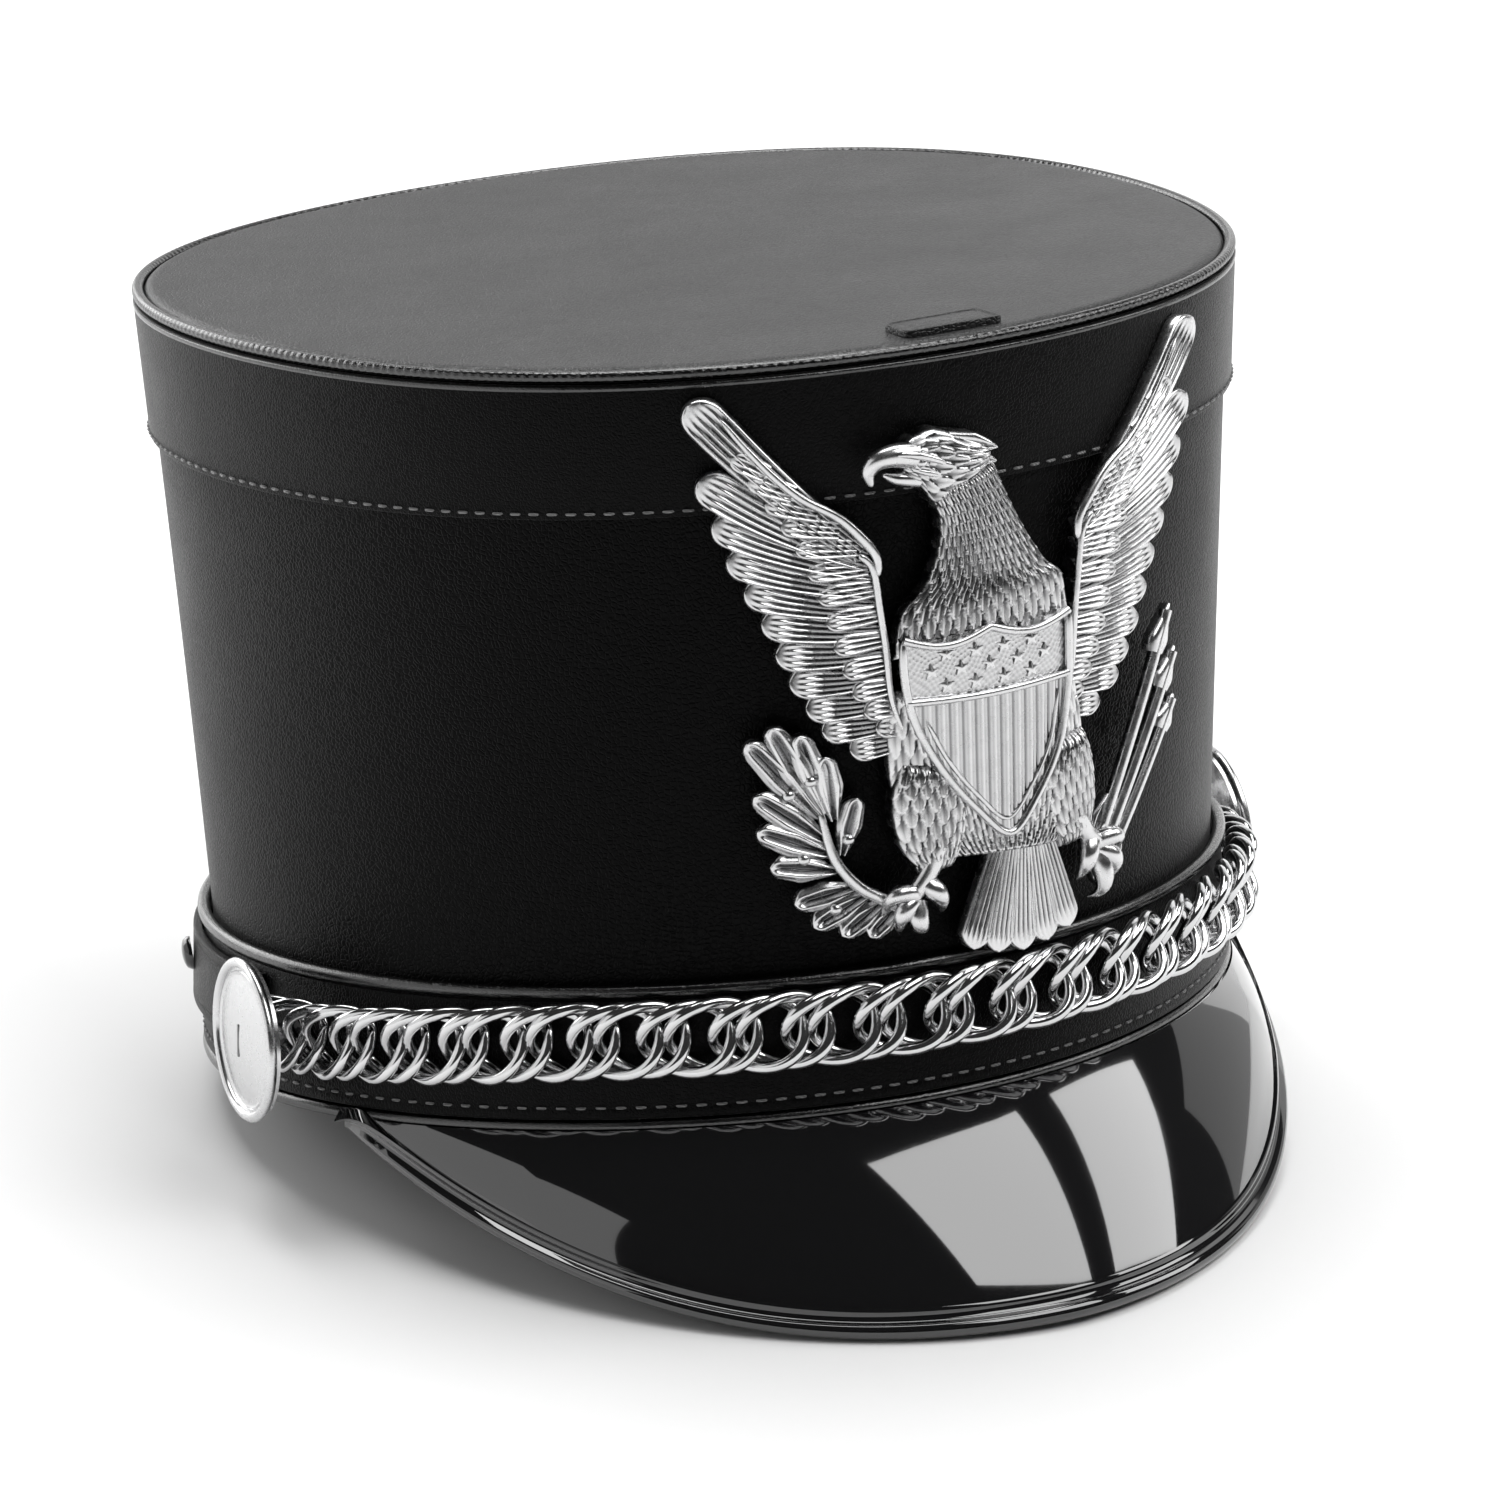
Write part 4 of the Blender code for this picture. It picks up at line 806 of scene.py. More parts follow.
def strap_stud(side):
    """A domed stud with a flat foot on the strap behind each button."""
    foot, shoulder, inset = STUD_SHARES
    dome = [(STUD_RADIUS * inset * s, STUD_PROUD * blend(shoulder, 1.0, math.sqrt(max(0.0, 1 - s * s))))
            for s in np.linspace(1.0, 0.0, 10)]
    shape = turned([(0.0, 0.0), (STUD_RADIUS, 0.0), (STUD_RADIUS, STUD_PROUD * foot), *dome], 40)
    outset = strap_face(STUD_HEIGHT) + STRAP_THICKNESS + GAP
    slant = -math.atan(WALL_FLARE / HEADBAND_TOP)
    return seated(shape, side_angle(side, -STUD_BACK), STUD_HEIGHT, outset, slant)


def badge_plan(shares):
    """Shares of half the span and of the height as lengths in the badge's flat plan."""
    return np.asarray(shares, float) * (BADGE_SPAN / 2, BADGE_HEIGHT)


def badge_foot():
    """Height of the badge's lowest point, just above the chain."""
    return CHAIN_FRONT_HEIGHT + LINK_HEIGHT / 2 + BADGE_CHAIN_CLEARANCE


def badge_back(height):
    """Outset of the badge's back: it leans from the headband's welt to the top band."""
    foot, head = badge_foot(), CROWN_HEIGHT - TOP_BAND_DEPTH
    low, high = 2 * GAP + 2 * HEADBAND_WELT_RADIUS, 2 * GAP + TOP_BAND_THICKNESS
    return blend(low, high, np.clip((height - foot) / (head - foot), 0, 1))


def bend_to_crown(flat):
    """Wrap the badge's flat plan, given by across, up and stand-off, round the front of the crown."""
    height = badge_foot() + flat[..., 1]
    middle = badge_foot() + BADGE_HEIGHT / 2
    angles = np.linspace(FRONT - BADGE_ARC, FRONT + BADGE_ARC, PATH_STEPS + 1)
    distance = distances(outline(angles, middle)[:, :2])
    distance -= distance[PATH_STEPS // 2]
    foot_girth, top_girth = FOOT_WIDTH + FOOT_LENGTH, TOP_WIDTH + TOP_LENGTH
    growth = blend(foot_girth, top_girth, height / CROWN_HEIGHT)
    growth = growth / blend(foot_girth, top_girth, middle / CROWN_HEIGHT)
    angle = np.interp(flat[..., 0] / growth, distance, angles)
    return outline(angle, height, badge_back(height) + flat[..., 2])


def badge_form(flat, shade=0.0):
    """A grid of the flat plan wrapped onto the crown: its points, its faces and the painted shade of each
    point, how dark it is.
    """
    points, faces = loft(bend_to_crown(flat))
    return points, faces, np.broadcast_to(shade, flat.shape[:-1]).reshape(-1)


def add_badge_piece(name, forms):
    """Several forms of the badge, with their painted shade, as one piece in place of the plain casting."""
    shape, shade = joined([form[:2] for form in forms]), np.concatenate([form[2] for form in forms])
    add_piece(name, shape, "badge_chrome", ["eagle_badge"], shade=shade, sharp=48)


def curve_through(knots, count):
    """Points along the Catmull-Rom curve that passes through the knots."""
    knots = np.asarray(knots, float)
    padded = np.concatenate([2 * knots[:1] - knots[1:2], knots, 2 * knots[-1:] - knots[-2:-1]])
    place = np.linspace(0, len(knots) - 1.000001, count)
    first = place.astype(int)
    t = (place - first)[:, None]
    a, b, c, d = (padded[first + i] for i in range(4))
    return 0.5 * (2 * b + (c - a) * t + (2 * a - 5 * b + 4 * c - d) * t ** 2
                  + (3 * b - a - 3 * c + d) * t ** 3)


def raised(plan, level):
    """Points of the plan with a stand-off added as their third value."""
    plan = np.asarray(plan, float)
    return np.concatenate([plan, np.broadcast_to(level, (*plan.shape[:-1], 1))], axis=-1)


def with_sides(flat, shade):
    """Carry a sheet's two side columns straight down to the badge's back."""
    down = flat[..., [0, -1], :] * (1.0, 1.0, 0.0)
    flat = np.concatenate([down[..., :1, :], flat, down[..., 1:, :]], axis=-2)
    return flat, np.concatenate([shade[..., :1], shade, shade[..., -1:]], axis=-1)


def blades(table, form, relief, base=0.0, ribs=2, depth=0.0003, rim=0.0011, tilt=0.0, sag=0.0, side=1.0,
           rows=24, columns=33):
    """A batch of rounded blades, such as feathers and leaves, from a table of tips, roots and widths.

    A blade's line is the quadratic curve (1-u)^2 root + 2u(1-u) bend + u^2 tip, where the bend lies
    halfway, lower by the sag. Its half width follows the form and closes as a circle at the tip.
    Across it v runs from -1 to 1. The height is relief . sqrt(1 - (1 - e)^2) with e the distance
    from the side in rims, at most 1. It leans by tilt . v, and lengthwise grooves of
    depth . (1 + cos(2 pi ribs v)) / 2 fade before the tip. A side of -1 mirrors the batch.
    """
    table = np.asarray(table, float)
    tips, roots, widths = table[:, 0:2], table[:, 2:4], table[:, 4:]
    bends = (tips + roots) / 2 - np.reshape(sag, (-1, 1)) * (0.0, 1.0)
    roots, bends, tips = (badge_plan(knots)[:, None] for knots in (roots, bends, tips))
    share = 1 - (1 - np.linspace(0, 1, rows)) ** ROW_CROWDING
    u = share[:, None]
    line = (1 - u) ** 2 * roots + 2 * u * (1 - u) * bends + u * u * tips
    ahead = unit((u - 1) * roots + (1 - 2 * u) * bends + u * tips)
    aside = np.stack([-ahead[..., 1], ahead[..., 0]], axis=-1)
    stations, wide = np.array(form).T
    half = widths * BADGE_SPAN / 4 * np.interp(share, stations, wide)
    left = np.linalg.norm(tips - roots, axis=-1) * (1 - share) / half[:, -1:]
    half = half * np.sqrt(np.clip(1 - (1 - np.minimum(left, 1)) ** 2, 0.0004, 1))
    v = np.linspace(-1, 1, columns)
    place = line[:, :, None] + aside[:, :, None] * half[..., None, None] * v[:, None]
    edge = np.minimum((1 - np.abs(v)) * half[..., None] / rim, 1)
    fade = np.clip(left - GROOVE_STOP, 0, 1)[..., None]
    groove = (1 + np.cos(2 * math.pi * ribs * v)) / 2 * edge * fade * (ribs > 0)
    height = relief * blend(BLADE_SIDE, 1, np.sqrt(1 - (1 - edge) ** 2))
    height = base + height - tilt * v - depth * groove
    # Painted shade: darkest in the grooves, and darker down the low sides of each blade.
    shade = np.clip(groove ** 2 + SIDE_SHADE * (1 - edge) * fade, 0, 1)
    flat, shade = with_sides(np.concatenate([place, height[..., None]], axis=-1), shade)
    return badge_form(flat * (side, 1.0, 1.0), shade)


def sheet(left, right, base, relief, texture, rows, columns, fullness=2.5, ends=0.1):
    """A pillowed sheet between two curves of the plan.

    Along it u runs up both curves, and across it v runs from -1 to 1. The height is base + relief .
    sqrt(1 - |v|^fullness), rounded off in the same way over the ends, plus the texture's own lift.
    """
    u, v = np.linspace(0, 1, rows)[:, None], np.linspace(-1, 1, columns)
    a, b = curve_through(left, rows)[:, None], curve_through(right, rows)[:, None]
    plan = a + (b - a) * (v[:, None] + 1) / 2
    pillow = np.sqrt(1 - np.abs(v) ** fullness)
    pillow = pillow * np.sqrt(1 - (1 - np.minimum(np.minimum(u, 1 - u) / ends, 1)) ** 2)
    # The texture gives its lift, its painted shade as dark, and a drop.
    lift, dark, drop = texture(u, v, plan)
    height = base + relief * pillow + lift * np.sqrt(np.clip(pillow, 0, 1))
    place = badge_plan(np.stack([plan[..., 0], plan[..., 1] - drop], axis=-1))
    flat = np.concatenate([place, height[..., None]], axis=-1)
    return badge_form(*with_sides(flat, dark))


def plumage(rows, columns, depth):
    """A texture of overlapping pointed feathers in staggered rows that hang down a sheet.

    Two layers lie half a row and half a column apart. In a layer b runs from -1 to 1 across one
    feather and a from its root to its tip. The lift is depth . a . (1 - b^4), the greater of the two
    layers, less a fine groove along each feather's middle.
    """
    def texture(u, v, plan):
        layers = []
        for layer in (0.0, 0.5):
            b = 2 * np.mod(v * columns / 2 + layer, 1) - 1
            a = np.mod(-u * rows + layer + 0.45 * b * b, 1)
            layers.append(a * (1 - b ** 4) - 0.3 * a * np.exp(-(b / 0.16) ** 2))
        lift = np.maximum(*layers)
        # Painted shade: darker where the lift is low, between and under the feathers.
        return depth * lift, smooth(np.clip(1.25 - 1.6 * lift, 0, 1)), 0.0
    return texture


def rods(lines, radii, sides=10):
    """A batch of round rods about equal numbers of points (across, up, stand-off) in metres.

    The sections stand square to the line, and the radii run along it.
    """
    ahead = np.gradient(lines, axis=-2)
    aside = unit(np.cross(ahead, UP))
    above = unit(np.cross(aside, ahead))
    spin = circle(sides)[:, None]
    ring = np.cos(spin) * aside[..., None, :] + np.sin(spin) * above[..., None, :]
    return badge_form(lines[..., None, :] + np.reshape(radii, (-1, 1, 1)) * ring)


def rod(knots, radii, steps=36, sides=10):
    """One rod with rounded ends through knots given as share across, share up and stand-off in metres."""
    line = curve_through(knots, steps)
    line[:, :2] = badge_plan(line[:, :2])
    along = np.linspace(0, 1, steps)
    radius = np.interp(along, np.linspace(0, 1, len(radii)), radii)
    end = 1 - np.minimum(np.minimum(along, 1 - along) / ROD_END, 1)
    return rods(line, radius * np.sqrt(np.clip(1 - end ** 2, 0.01, 1)), sides)


def bosses(centres, rings, levels, spin):
    """A batch of raised forms on centres: at each level a ring of points at the angles of the spin."""
    across, up = np.moveaxis(badge_plan(centres)[:, None, None], -1, 0)
    flat = np.broadcast_arrays(across + rings * np.cos(spin), up + rings * np.sin(spin), levels)
    return badge_form(np.stack(flat, axis=-1))


def domes(centres, radius, base):
    """A batch of domes: rings of radius r . cos(t) at height r . sin(t) above a short foot."""
    t = np.linspace(-0.5, 0.498 * math.pi, 8)[:, None]
    return bosses(centres, radius * np.cos(t), base + radius * np.sin(t), circle(DOME_SIDES))


def stars(centres, radius, base):
    """A batch of five-pointed stars that rise to a point, their corners alternately r and 0.42 r out."""
    rings = radius * np.where(np.arange(10) % 2, 0.42, 1.0) * np.array([1.0, 1.0, 0.03])[:, None]
    levels = base + np.array(STAR_LEVELS)[:, None]
    return bosses(centres, rings, levels, math.pi / 2 + circle(10))


def wing(side):
    """One wing: long ribbed feathers, short ones over their roots, and rods along its arm and inner edge."""
    count = len(FEATHER_TIPS)
    feathers = np.column_stack([
        FEATHER_TIPS, curve_through(WING_INNER_EDGE, count), np.linspace(0.150, 0.126, count)])
    level = FEATHER_RELIEF * np.linspace(1.15, 0.9, count)[:, None, None]
    coverts = np.column_stack([
        curve_through(COVERT_TIPS, COVERTS), curve_through(COVERT_ROOTS, COVERTS), np.full(COVERTS, 0.086)])
    arm = raised(LEADING_EDGE, 0.0024) * (side, 1.0, 1.0)
    inner = (raised(WING_INNER_EDGE, 0.0026) + (0.004, 0.0, 0.0)) * (side, 1.0, 1.0)
    return [
        blades(feathers, FEATHER_FORM, relief=level, ribs=3, depth=0.00046, rim=0.0008, tilt=0.00035,
               sag=np.linspace(0.022, 0.0, count), side=side, columns=43),
        blades(coverts, COVERT_FORM, relief=0.0007, base=FEATHER_RELIEF * 0.85, depth=0.0004, rim=0.0005,
               tilt=0.0002, side=side, rows=14, columns=25),
        rod(arm, radii=(0.0007, 0.0009, 0.0008, 0.0006, 0.0004), steps=50),
        rod(inner, radii=(0.0006, 0.0006, 0.0006, 0.0004), steps=40)]


def talons():
    """Curved claws in one batch: quadratic curves that rise over what they grip and taper to a point."""
    u = np.linspace(0, 1, 14)[:, None]
    start, bend, end = (badge_plan(knots)[:, None] for knots in np.hsplit(np.array(TALONS), 3))
    line = (1 - u) ** 2 * start + 2 * u * (1 - u) * bend + u * u * end
    level = CLAW_LEVEL * (1 + 2 * u * (1 - u)) - CLAW_DROP * u * u
    return rods(raised(line, level), CLAW_RADIUS * (1 - u ** 2) + CLAW_POINT)


def eagle_head():
    """The head: the feathered skull, the open hooked beak, brow, cheek, the crest's points and the eye."""
    skull = sheet(SKULL_LOWER, SKULL_UPPER, base=0.0030, relief=0.0024, texture=plumage(4, 5, 0.0005),
                  rows=70, columns=60, fullness=2.0, ends=0.16)
    crest = blades(CREST, CREST_FORM, relief=0.0014, base=0.0030, ribs=1, rim=0.0007, rows=14, columns=17)
    return [skull, *(rod(*line) for line in HEAD_LINES), crest, domes([EYE], radius=0.0009, base=0.0056)]


def eagle_body():
    """The feathered neck, body and thighs, the ribbed tail, the legs with their claws, and the head."""
    rows = 170
    swell = np.linspace(0.0012, 0.0030, rows)[:, None]
    return [
        sheet(NECK_LEFT, NECK_RIGHT, base=0.0020, relief=swell, texture=plumage(7.5, 12, 0.0010),
              rows=rows, columns=130, ends=0.04),
        sheet(BODY_LEFT, BODY_RIGHT, base=0.0016, relief=0.0020, texture=plumage(6, 16, 0.0007),
              rows=110, columns=150, ends=0.05),
        *(sheet(left, right, base=0.0022, relief=0.0022, texture=plumage(4.5, 5, 0.0008),
                rows=80, columns=60, ends=0.15) for left, right in THIGHS),
        blades(TAIL, TAIL_FORM, relief=0.0024, ribs=3, depth=0.0004, rim=0.0007, columns=41),
        *(rod(knots, radii=(0.0020, 0.0017, 0.0016, 0.0013), steps=24) for knots in LEGS),
        talons(), *eagle_head()]


def shield_dip(v):
    """How far the shield's top edge dips at v: two shallow arcs that meet in a point at the middle."""
    return SHIELD_DIP * np.abs(np.sin(math.pi * v))


def shield_face(u, v, plan):
    """The shield's texture: fine grain on the chief, upright stripes of cosine section below it, and painted
    shade in the stripes' valleys and the grain's lows.
    """
    across, up = plan[..., 0], plan[..., 1]
    near_top = np.clip((up - CHIEF_FOOT) / (SHIELD_TOP - CHIEF_FOOT), 0, 1)
    below = np.clip((CHIEF_FOOT - up) / CHIEF_CURVE, 0, 1)
    stripe, fine = ((1 + np.cos(count * math.pi * across / STRIPE_PITCH)) / 2 for count in (2, 6))
    grain = np.sin(across * 250 + 2 * np.sin(up * 97)) * np.sin(up * 540 + 2 * np.sin(across * 61))
    lift = below * (0.00022 * stripe + 0.00014 * fine) + (1 - below) * (0.00007 * grain - 0.0002)
    # Painted shade: darker in the valleys of the stripes and in the low parts of the chief's grain.
    dark = below * (0.45 * (1 - stripe) ** 2 + 0.35 * (1 - fine)) + (1 - below) * 0.22 * (1 - grain)
    return lift, np.clip(dark, 0, 1), near_top ** 2 * shield_dip(v)


def eagle_shield():
    """The shield: its face, raised borders above and below the starred chief, and double lower edges."""
    face = sheet(SHIELD_LEFT, SHIELD_RIGHT, base=0.0042, relief=0.0006, texture=shield_face,
                 rows=110, columns=151, fullness=8.0, ends=0.02)
    v = np.linspace(-1, 1, 61)
    across = blend(SHIELD_LEFT[-1][0], SHIELD_RIGHT[-1][0], (1 + v) / 2)
    top = np.stack([across, SHIELD_TOP - shield_dip(v)], axis=1)
    foot = np.stack([across * 0.985, CHIEF_FOOT - CHIEF_CURVE * np.cos(v * math.pi / 2)], axis=1)
    bars = [rods(raised(badge_plan(line), SHIELD_LINES), np.full(61, 0.00075)) for line in (top, foot)]
    outer = rod(raised(SHIELD_LEFT[::-1] + SHIELD_RIGHT[1:], SHIELD_LINES), (0.0007, 0.0007), 90)
    inset = np.array(SHIELD_LEFT[:-2][::-1] + SHIELD_RIGHT[1:-2])
    inset = (inset - SHIELD_MIDDLE) * SHIELD_INSET + SHIELD_MIDDLE
    inner = rod(raised(inset, SHIELD_LINES), (0.0004, 0.0004), 70, 8)
    centres = [(x, y - 0.004 * math.cos(x * 5)) for count, y in STAR_ROWS
               for x in STAR_PITCH * (np.arange(count) - (count - 1) / 2) - 0.012]
    return [face, *bars, outer, inner, stars(centres, radius=0.0014, base=0.0048)]


def olive_branch():
    """The branch: leaves with raised rims and a deep midrib, the stem and a few berries."""
    leaves = blades(LEAVES, LEAF_FORM, relief=0.0021, ribs=1, depth=0.0011, rim=0.0008, columns=25)
    stem = rod(STEM, radii=(0.0013, 0.0012, 0.0011, 0.0009, 0.0006))
    return [leaves, stem, domes(BERRIES, radius=0.00115, base=0.0014)]


def arrow_bundle():
    """Three arrows in the right claw: round shafts, ridged heads above and feathered butts below."""
    tips, butts = np.hsplit(np.array(ARROWS), 2)
    u = np.linspace(0, 1, 20)[:, None]
    shafts = raised(badge_plan(butts)[:, None] * (1 - u) + badge_plan(tips)[:, None] * u, 0.0014)
    along = tips - butts
    heads = np.column_stack([tips + along * 0.03, tips - along * 0.17, np.full(len(tips), 0.115)])
    vanes = np.column_stack([butts - along * 0.02, butts + along * 0.26, np.full(len(tips), 0.125)])
    return [rods(shafts, np.full(20, 0.0012)),
            blades(heads, HEAD_FORM, relief=0.0020, base=0.0004, ribs=0, rim=0.0016, rows=18, columns=17),
            blades(vanes, VANE_FORM, relief=0.0018, depth=0.0004, rim=0.0006, rows=16)]


def fill(tree, node, inputs):
    """Link each input that another node gives, and set each one that is a plain value."""
    for key, value in inputs.items():
        if isinstance(value, bpy.types.NodeSocket):
            tree.links.new(value, node.inputs[key])
        else:
            node.inputs[key].default_value = value


def add_node(tree, kind, inputs, output=0, **settings):
    """Add a shader node, set its properties and inputs, and give one of its outputs."""
    node = tree.nodes.new("ShaderNode" + kind)
    for key, value in settings.items():
        setattr(node, key, value)
    fill(tree, node, inputs)
    return node.outputs[output]


def new_material(name):
    """A new material, its node tree and the coordinates of the piece that it is on."""
    material = bpy.data.materials.new(name)
    material.use_nodes = True
    return material, material.node_tree, add_node(material.node_tree, "TexCoord", {}, "Object")


def finished(material, inputs):
    """Set and link the inputs of a material's Principled shader, and give the material back."""
    fill(material.node_tree, material.node_tree.nodes["Principled BSDF"], inputs)
    return material


def grey(level, blue=0.0):
    """A grey as a linear colour, with a little more blue."""
    return level, level, level + blue, 1.0


def noise(tree, place, scale, detail, roughness=0.5, output="Fac"):
    """Fractal noise."""
    inputs = {"Vector": place, "Scale": scale, "Detail": detail, "Roughness": roughness}
    return add_node(tree, "TexNoise", inputs, output)


def ranged(tree, value, low, high, to_low=0.0, to_high=1.0, **settings):
    """A value carried from one range to another."""
    inputs = {"Value": value, "From Min": low, "From Max": high, "To Min": to_low, "To Max": to_high}
    return add_node(tree, "MapRange", inputs, **settings)


def mixed(tree, factor, first, second, **settings):
    """Two colours mixed by a factor."""
    inputs = {"Factor": factor, "A": first, "B": second}
    return add_node(tree, "Mix", inputs, "Result", data_type="RGBA", **settings)


def worked_out(tree, operation, *values, kind="Math", **settings):
    """The result of an operation on up to three values."""
    return add_node(tree, kind, dict(enumerate(values)), operation=operation, **settings)


def bumped(tree, height, depth):
    """A normal bent by a height of 0 to 1 that stands for a depth in metres."""
    return add_node(tree, "Bump", {"Height": height, "Strength": 1.0, "Distance": depth})


def leather(name, dark, light, roughness, grain, depth, specular=0.5, sheen=0.0):
    """Black grained leather: pebbles from a cell pattern, fine wrinkles, and an uneven polish.

    The cell pattern's distance gives rounded pebbles with creases between them, darkened by painted shade.
    A noise tints the colour and the roughness, so that no part of the surface is one flat value.
    """
    material, tree, place = new_material(name)
    warp = noise(tree, place, 0.35 / grain, 3.0, output="Color")
    bent = worked_out(tree, "SUBTRACT", warp, (0.5, 0.5, 0.5), kind="VectorMath")
    moved = worked_out(tree, "MULTIPLY_ADD", bent, (grain * 1.2,) * 3, place, kind="VectorMath")
    cells = add_node(tree, "TexVoronoi", {"Vector": moved, "Scale": 1 / grain}, "Distance",
                     feature="DISTANCE_TO_EDGE")
    pebble = ranged(tree, cells, 0.0, 0.22, interpolation_type="SMOOTHSTEP")
    wrinkle = noise(tree, place, 2.6 / grain, 4.0)
    height = worked_out(tree, "MULTIPLY_ADD", wrinkle, 0.45, pebble)
    cloud = noise(tree, place, 38.0, 5.0, 0.62)
    tint = mixed(tree, cloud, dark, light)
    # Painted shade: the colour falls to 0.62 of itself in the creases between pebbles.
    crease = ranged(tree, pebble, 0.0, 1.0, 0.62, 1.0)
    return finished(material, {
        "Base Color": mixed(tree, 1.0, tint, crease, blend_type="MULTIPLY"),
        "Roughness": ranged(tree, cloud, 0.3, 0.7, roughness - 0.035, roughness + 0.045),
        "Normal": bumped(tree, height, depth),
        "Specular IOR Level": specular, "Sheen Weight": sheen, "Sheen Roughness": 0.35})


def patent(name):
    """Patent leather: a deep black under a clear glossy film that waves very slightly, with dust specks."""
    material, tree, place = new_material(name)
    specks = tree.nodes.new("ShaderNodeTexVoronoi")
    fill(tree, specks, {"Vector": place, "Scale": 170.0})
    dust = ranged(tree, specks.outputs["Distance"], 0.02, 0.035, 1.0, 0.0)
    rare = add_node(tree, "SeparateColor", {"Color": specks.outputs["Color"]}, "Red")
    speck = worked_out(tree, "MULTIPLY", dust, worked_out(tree, "GREATER_THAN", rare, 0.93))
    return finished(material, {
        "Base Color": mixed(tree, speck, grey(0.005, 0.0005), grey(0.3)),
        "Roughness": ranged(tree, noise(tree, place, 30.0, 4.0), 0.0, 1.0, 0.03, 0.08),
        "Normal": bumped(tree, noise(tree, place, 160.0, 2.0, 0.4), 0.00001),
        "Specular IOR Level": 0.6, "Coat Weight": 1.0, "Coat Roughness": 0.02, "Coat IOR": 1.6})


def chrome(name, roughness, painted_recess_shade=0.0):
    """Bright plated metal: fine polishing unevenness, and painted shade, a darker tone in the grooves and
    hollows where the recess attribute says.
    """
    material, tree, place = new_material(name)
    haze = noise(tree, place, 420.0, 4.0, 0.6)
    # Painted shade: the recess attribute mixes the plating towards a dark grey in the badge's grooves and
    # hollows.
    deep = add_node(tree, "Attribute", {}, "Fac", attribute_name="recess")
    amount = worked_out(tree, "MULTIPLY", deep, painted_recess_shade, use_clamp=True)
    return finished(material, {
        "Base Color": mixed(tree, amount, grey(0.66, 0.005), grey(0.03, 0.003)),
        "Roughness": ranged(tree, haze, 0.3, 0.7, roughness * 0.75, roughness * 1.35),
        "Normal": bumped(tree, haze, 0.000012), "Metallic": 1.0})


def thread(name, shade):
    """Waxed thread with a soft gloss, a twist of fine diagonal plies. Its pale grey is a painted highlight on
    black thread, with painted shade between the plies.
    """
    material, tree, place = new_material(name)
    inputs = {"Vector": place, "Scale": 900.0, "Distortion": 1.5}
    ply = add_node(tree, "TexWave", inputs, "Fac", bands_direction="DIAGONAL")
    # Painted shade: darker between the plies, where the bump is low.
    return finished(material, {
        "Base Color": mixed(tree, ply, grey(shade * 0.45), grey(shade)),
        "Normal": bumped(tree, ply, 0.00008), "Roughness": 0.38})


def enamel(name):
    """Black gloss enamel on the studs, and as painted shade in the buttons' slots, a little uneven."""
    material, tree, place = new_material(name)
    cloud = noise(tree, place, 600.0, 3.0)
    return finished(material, {
        "Base Color": mixed(tree, cloud, grey(0.004, 0.0005), grey(0.009, 0.001)),
        "Roughness": 0.14, "Coat Weight": 0.6})


def paint_frame_nodes():
    """Give every CAD node still in the file its slot's finish, shown or hidden."""
    for row in frame["record"]["subparts"]:
        for slot in frame["nodes"][row["node"]].material_slots:
            slot.material = FINISHES[row["material_slot"]]


BLACK, SHEEN_BLACK = grey(0.0005, 0.00002), grey(0.002, 0.0001)
# The grey of 0.2 is a painted highlight: the thread is black.
PAINTED_HIGHLIGHT_THREAD = thread("waxed thread, painted highlight", 0.2)
FINISHES = {
    "wall_leather": leather("wall leather, fine grain", BLACK, SHEEN_BLACK, roughness=0.36,
                            grain=0.0009, depth=0.00008, specular=0.05, sheen=0.1),
    "top_leather": leather("top leather, fine grain", grey(0.004, 0.0002), grey(0.009, 0.0003),
                           roughness=0.42, grain=0.0008, depth=0.00008),
    "band_leather": leather("band leather, smooth grain", BLACK, SHEEN_BLACK, roughness=0.34,
                            grain=0.0007, depth=0.00006, specular=0.07, sheen=0.1),
    "welt_leather": leather("welt leather, polished", grey(0.001, 0.00005), grey(0.003, 0.0001),
                            roughness=0.17, grain=0.0006, depth=0.00002, specular=0.9),
    "peak_patent": patent("patent leather"),
    "chain_chrome": chrome("chain chrome", roughness=0.12),
    # Its recess amount paints shade into the badge's grooves and hollows.
    "badge_chrome": chrome("badge chrome", roughness=0.24, painted_recess_shade=0.9),
    "stud_black": enamel("black enamel"),
}


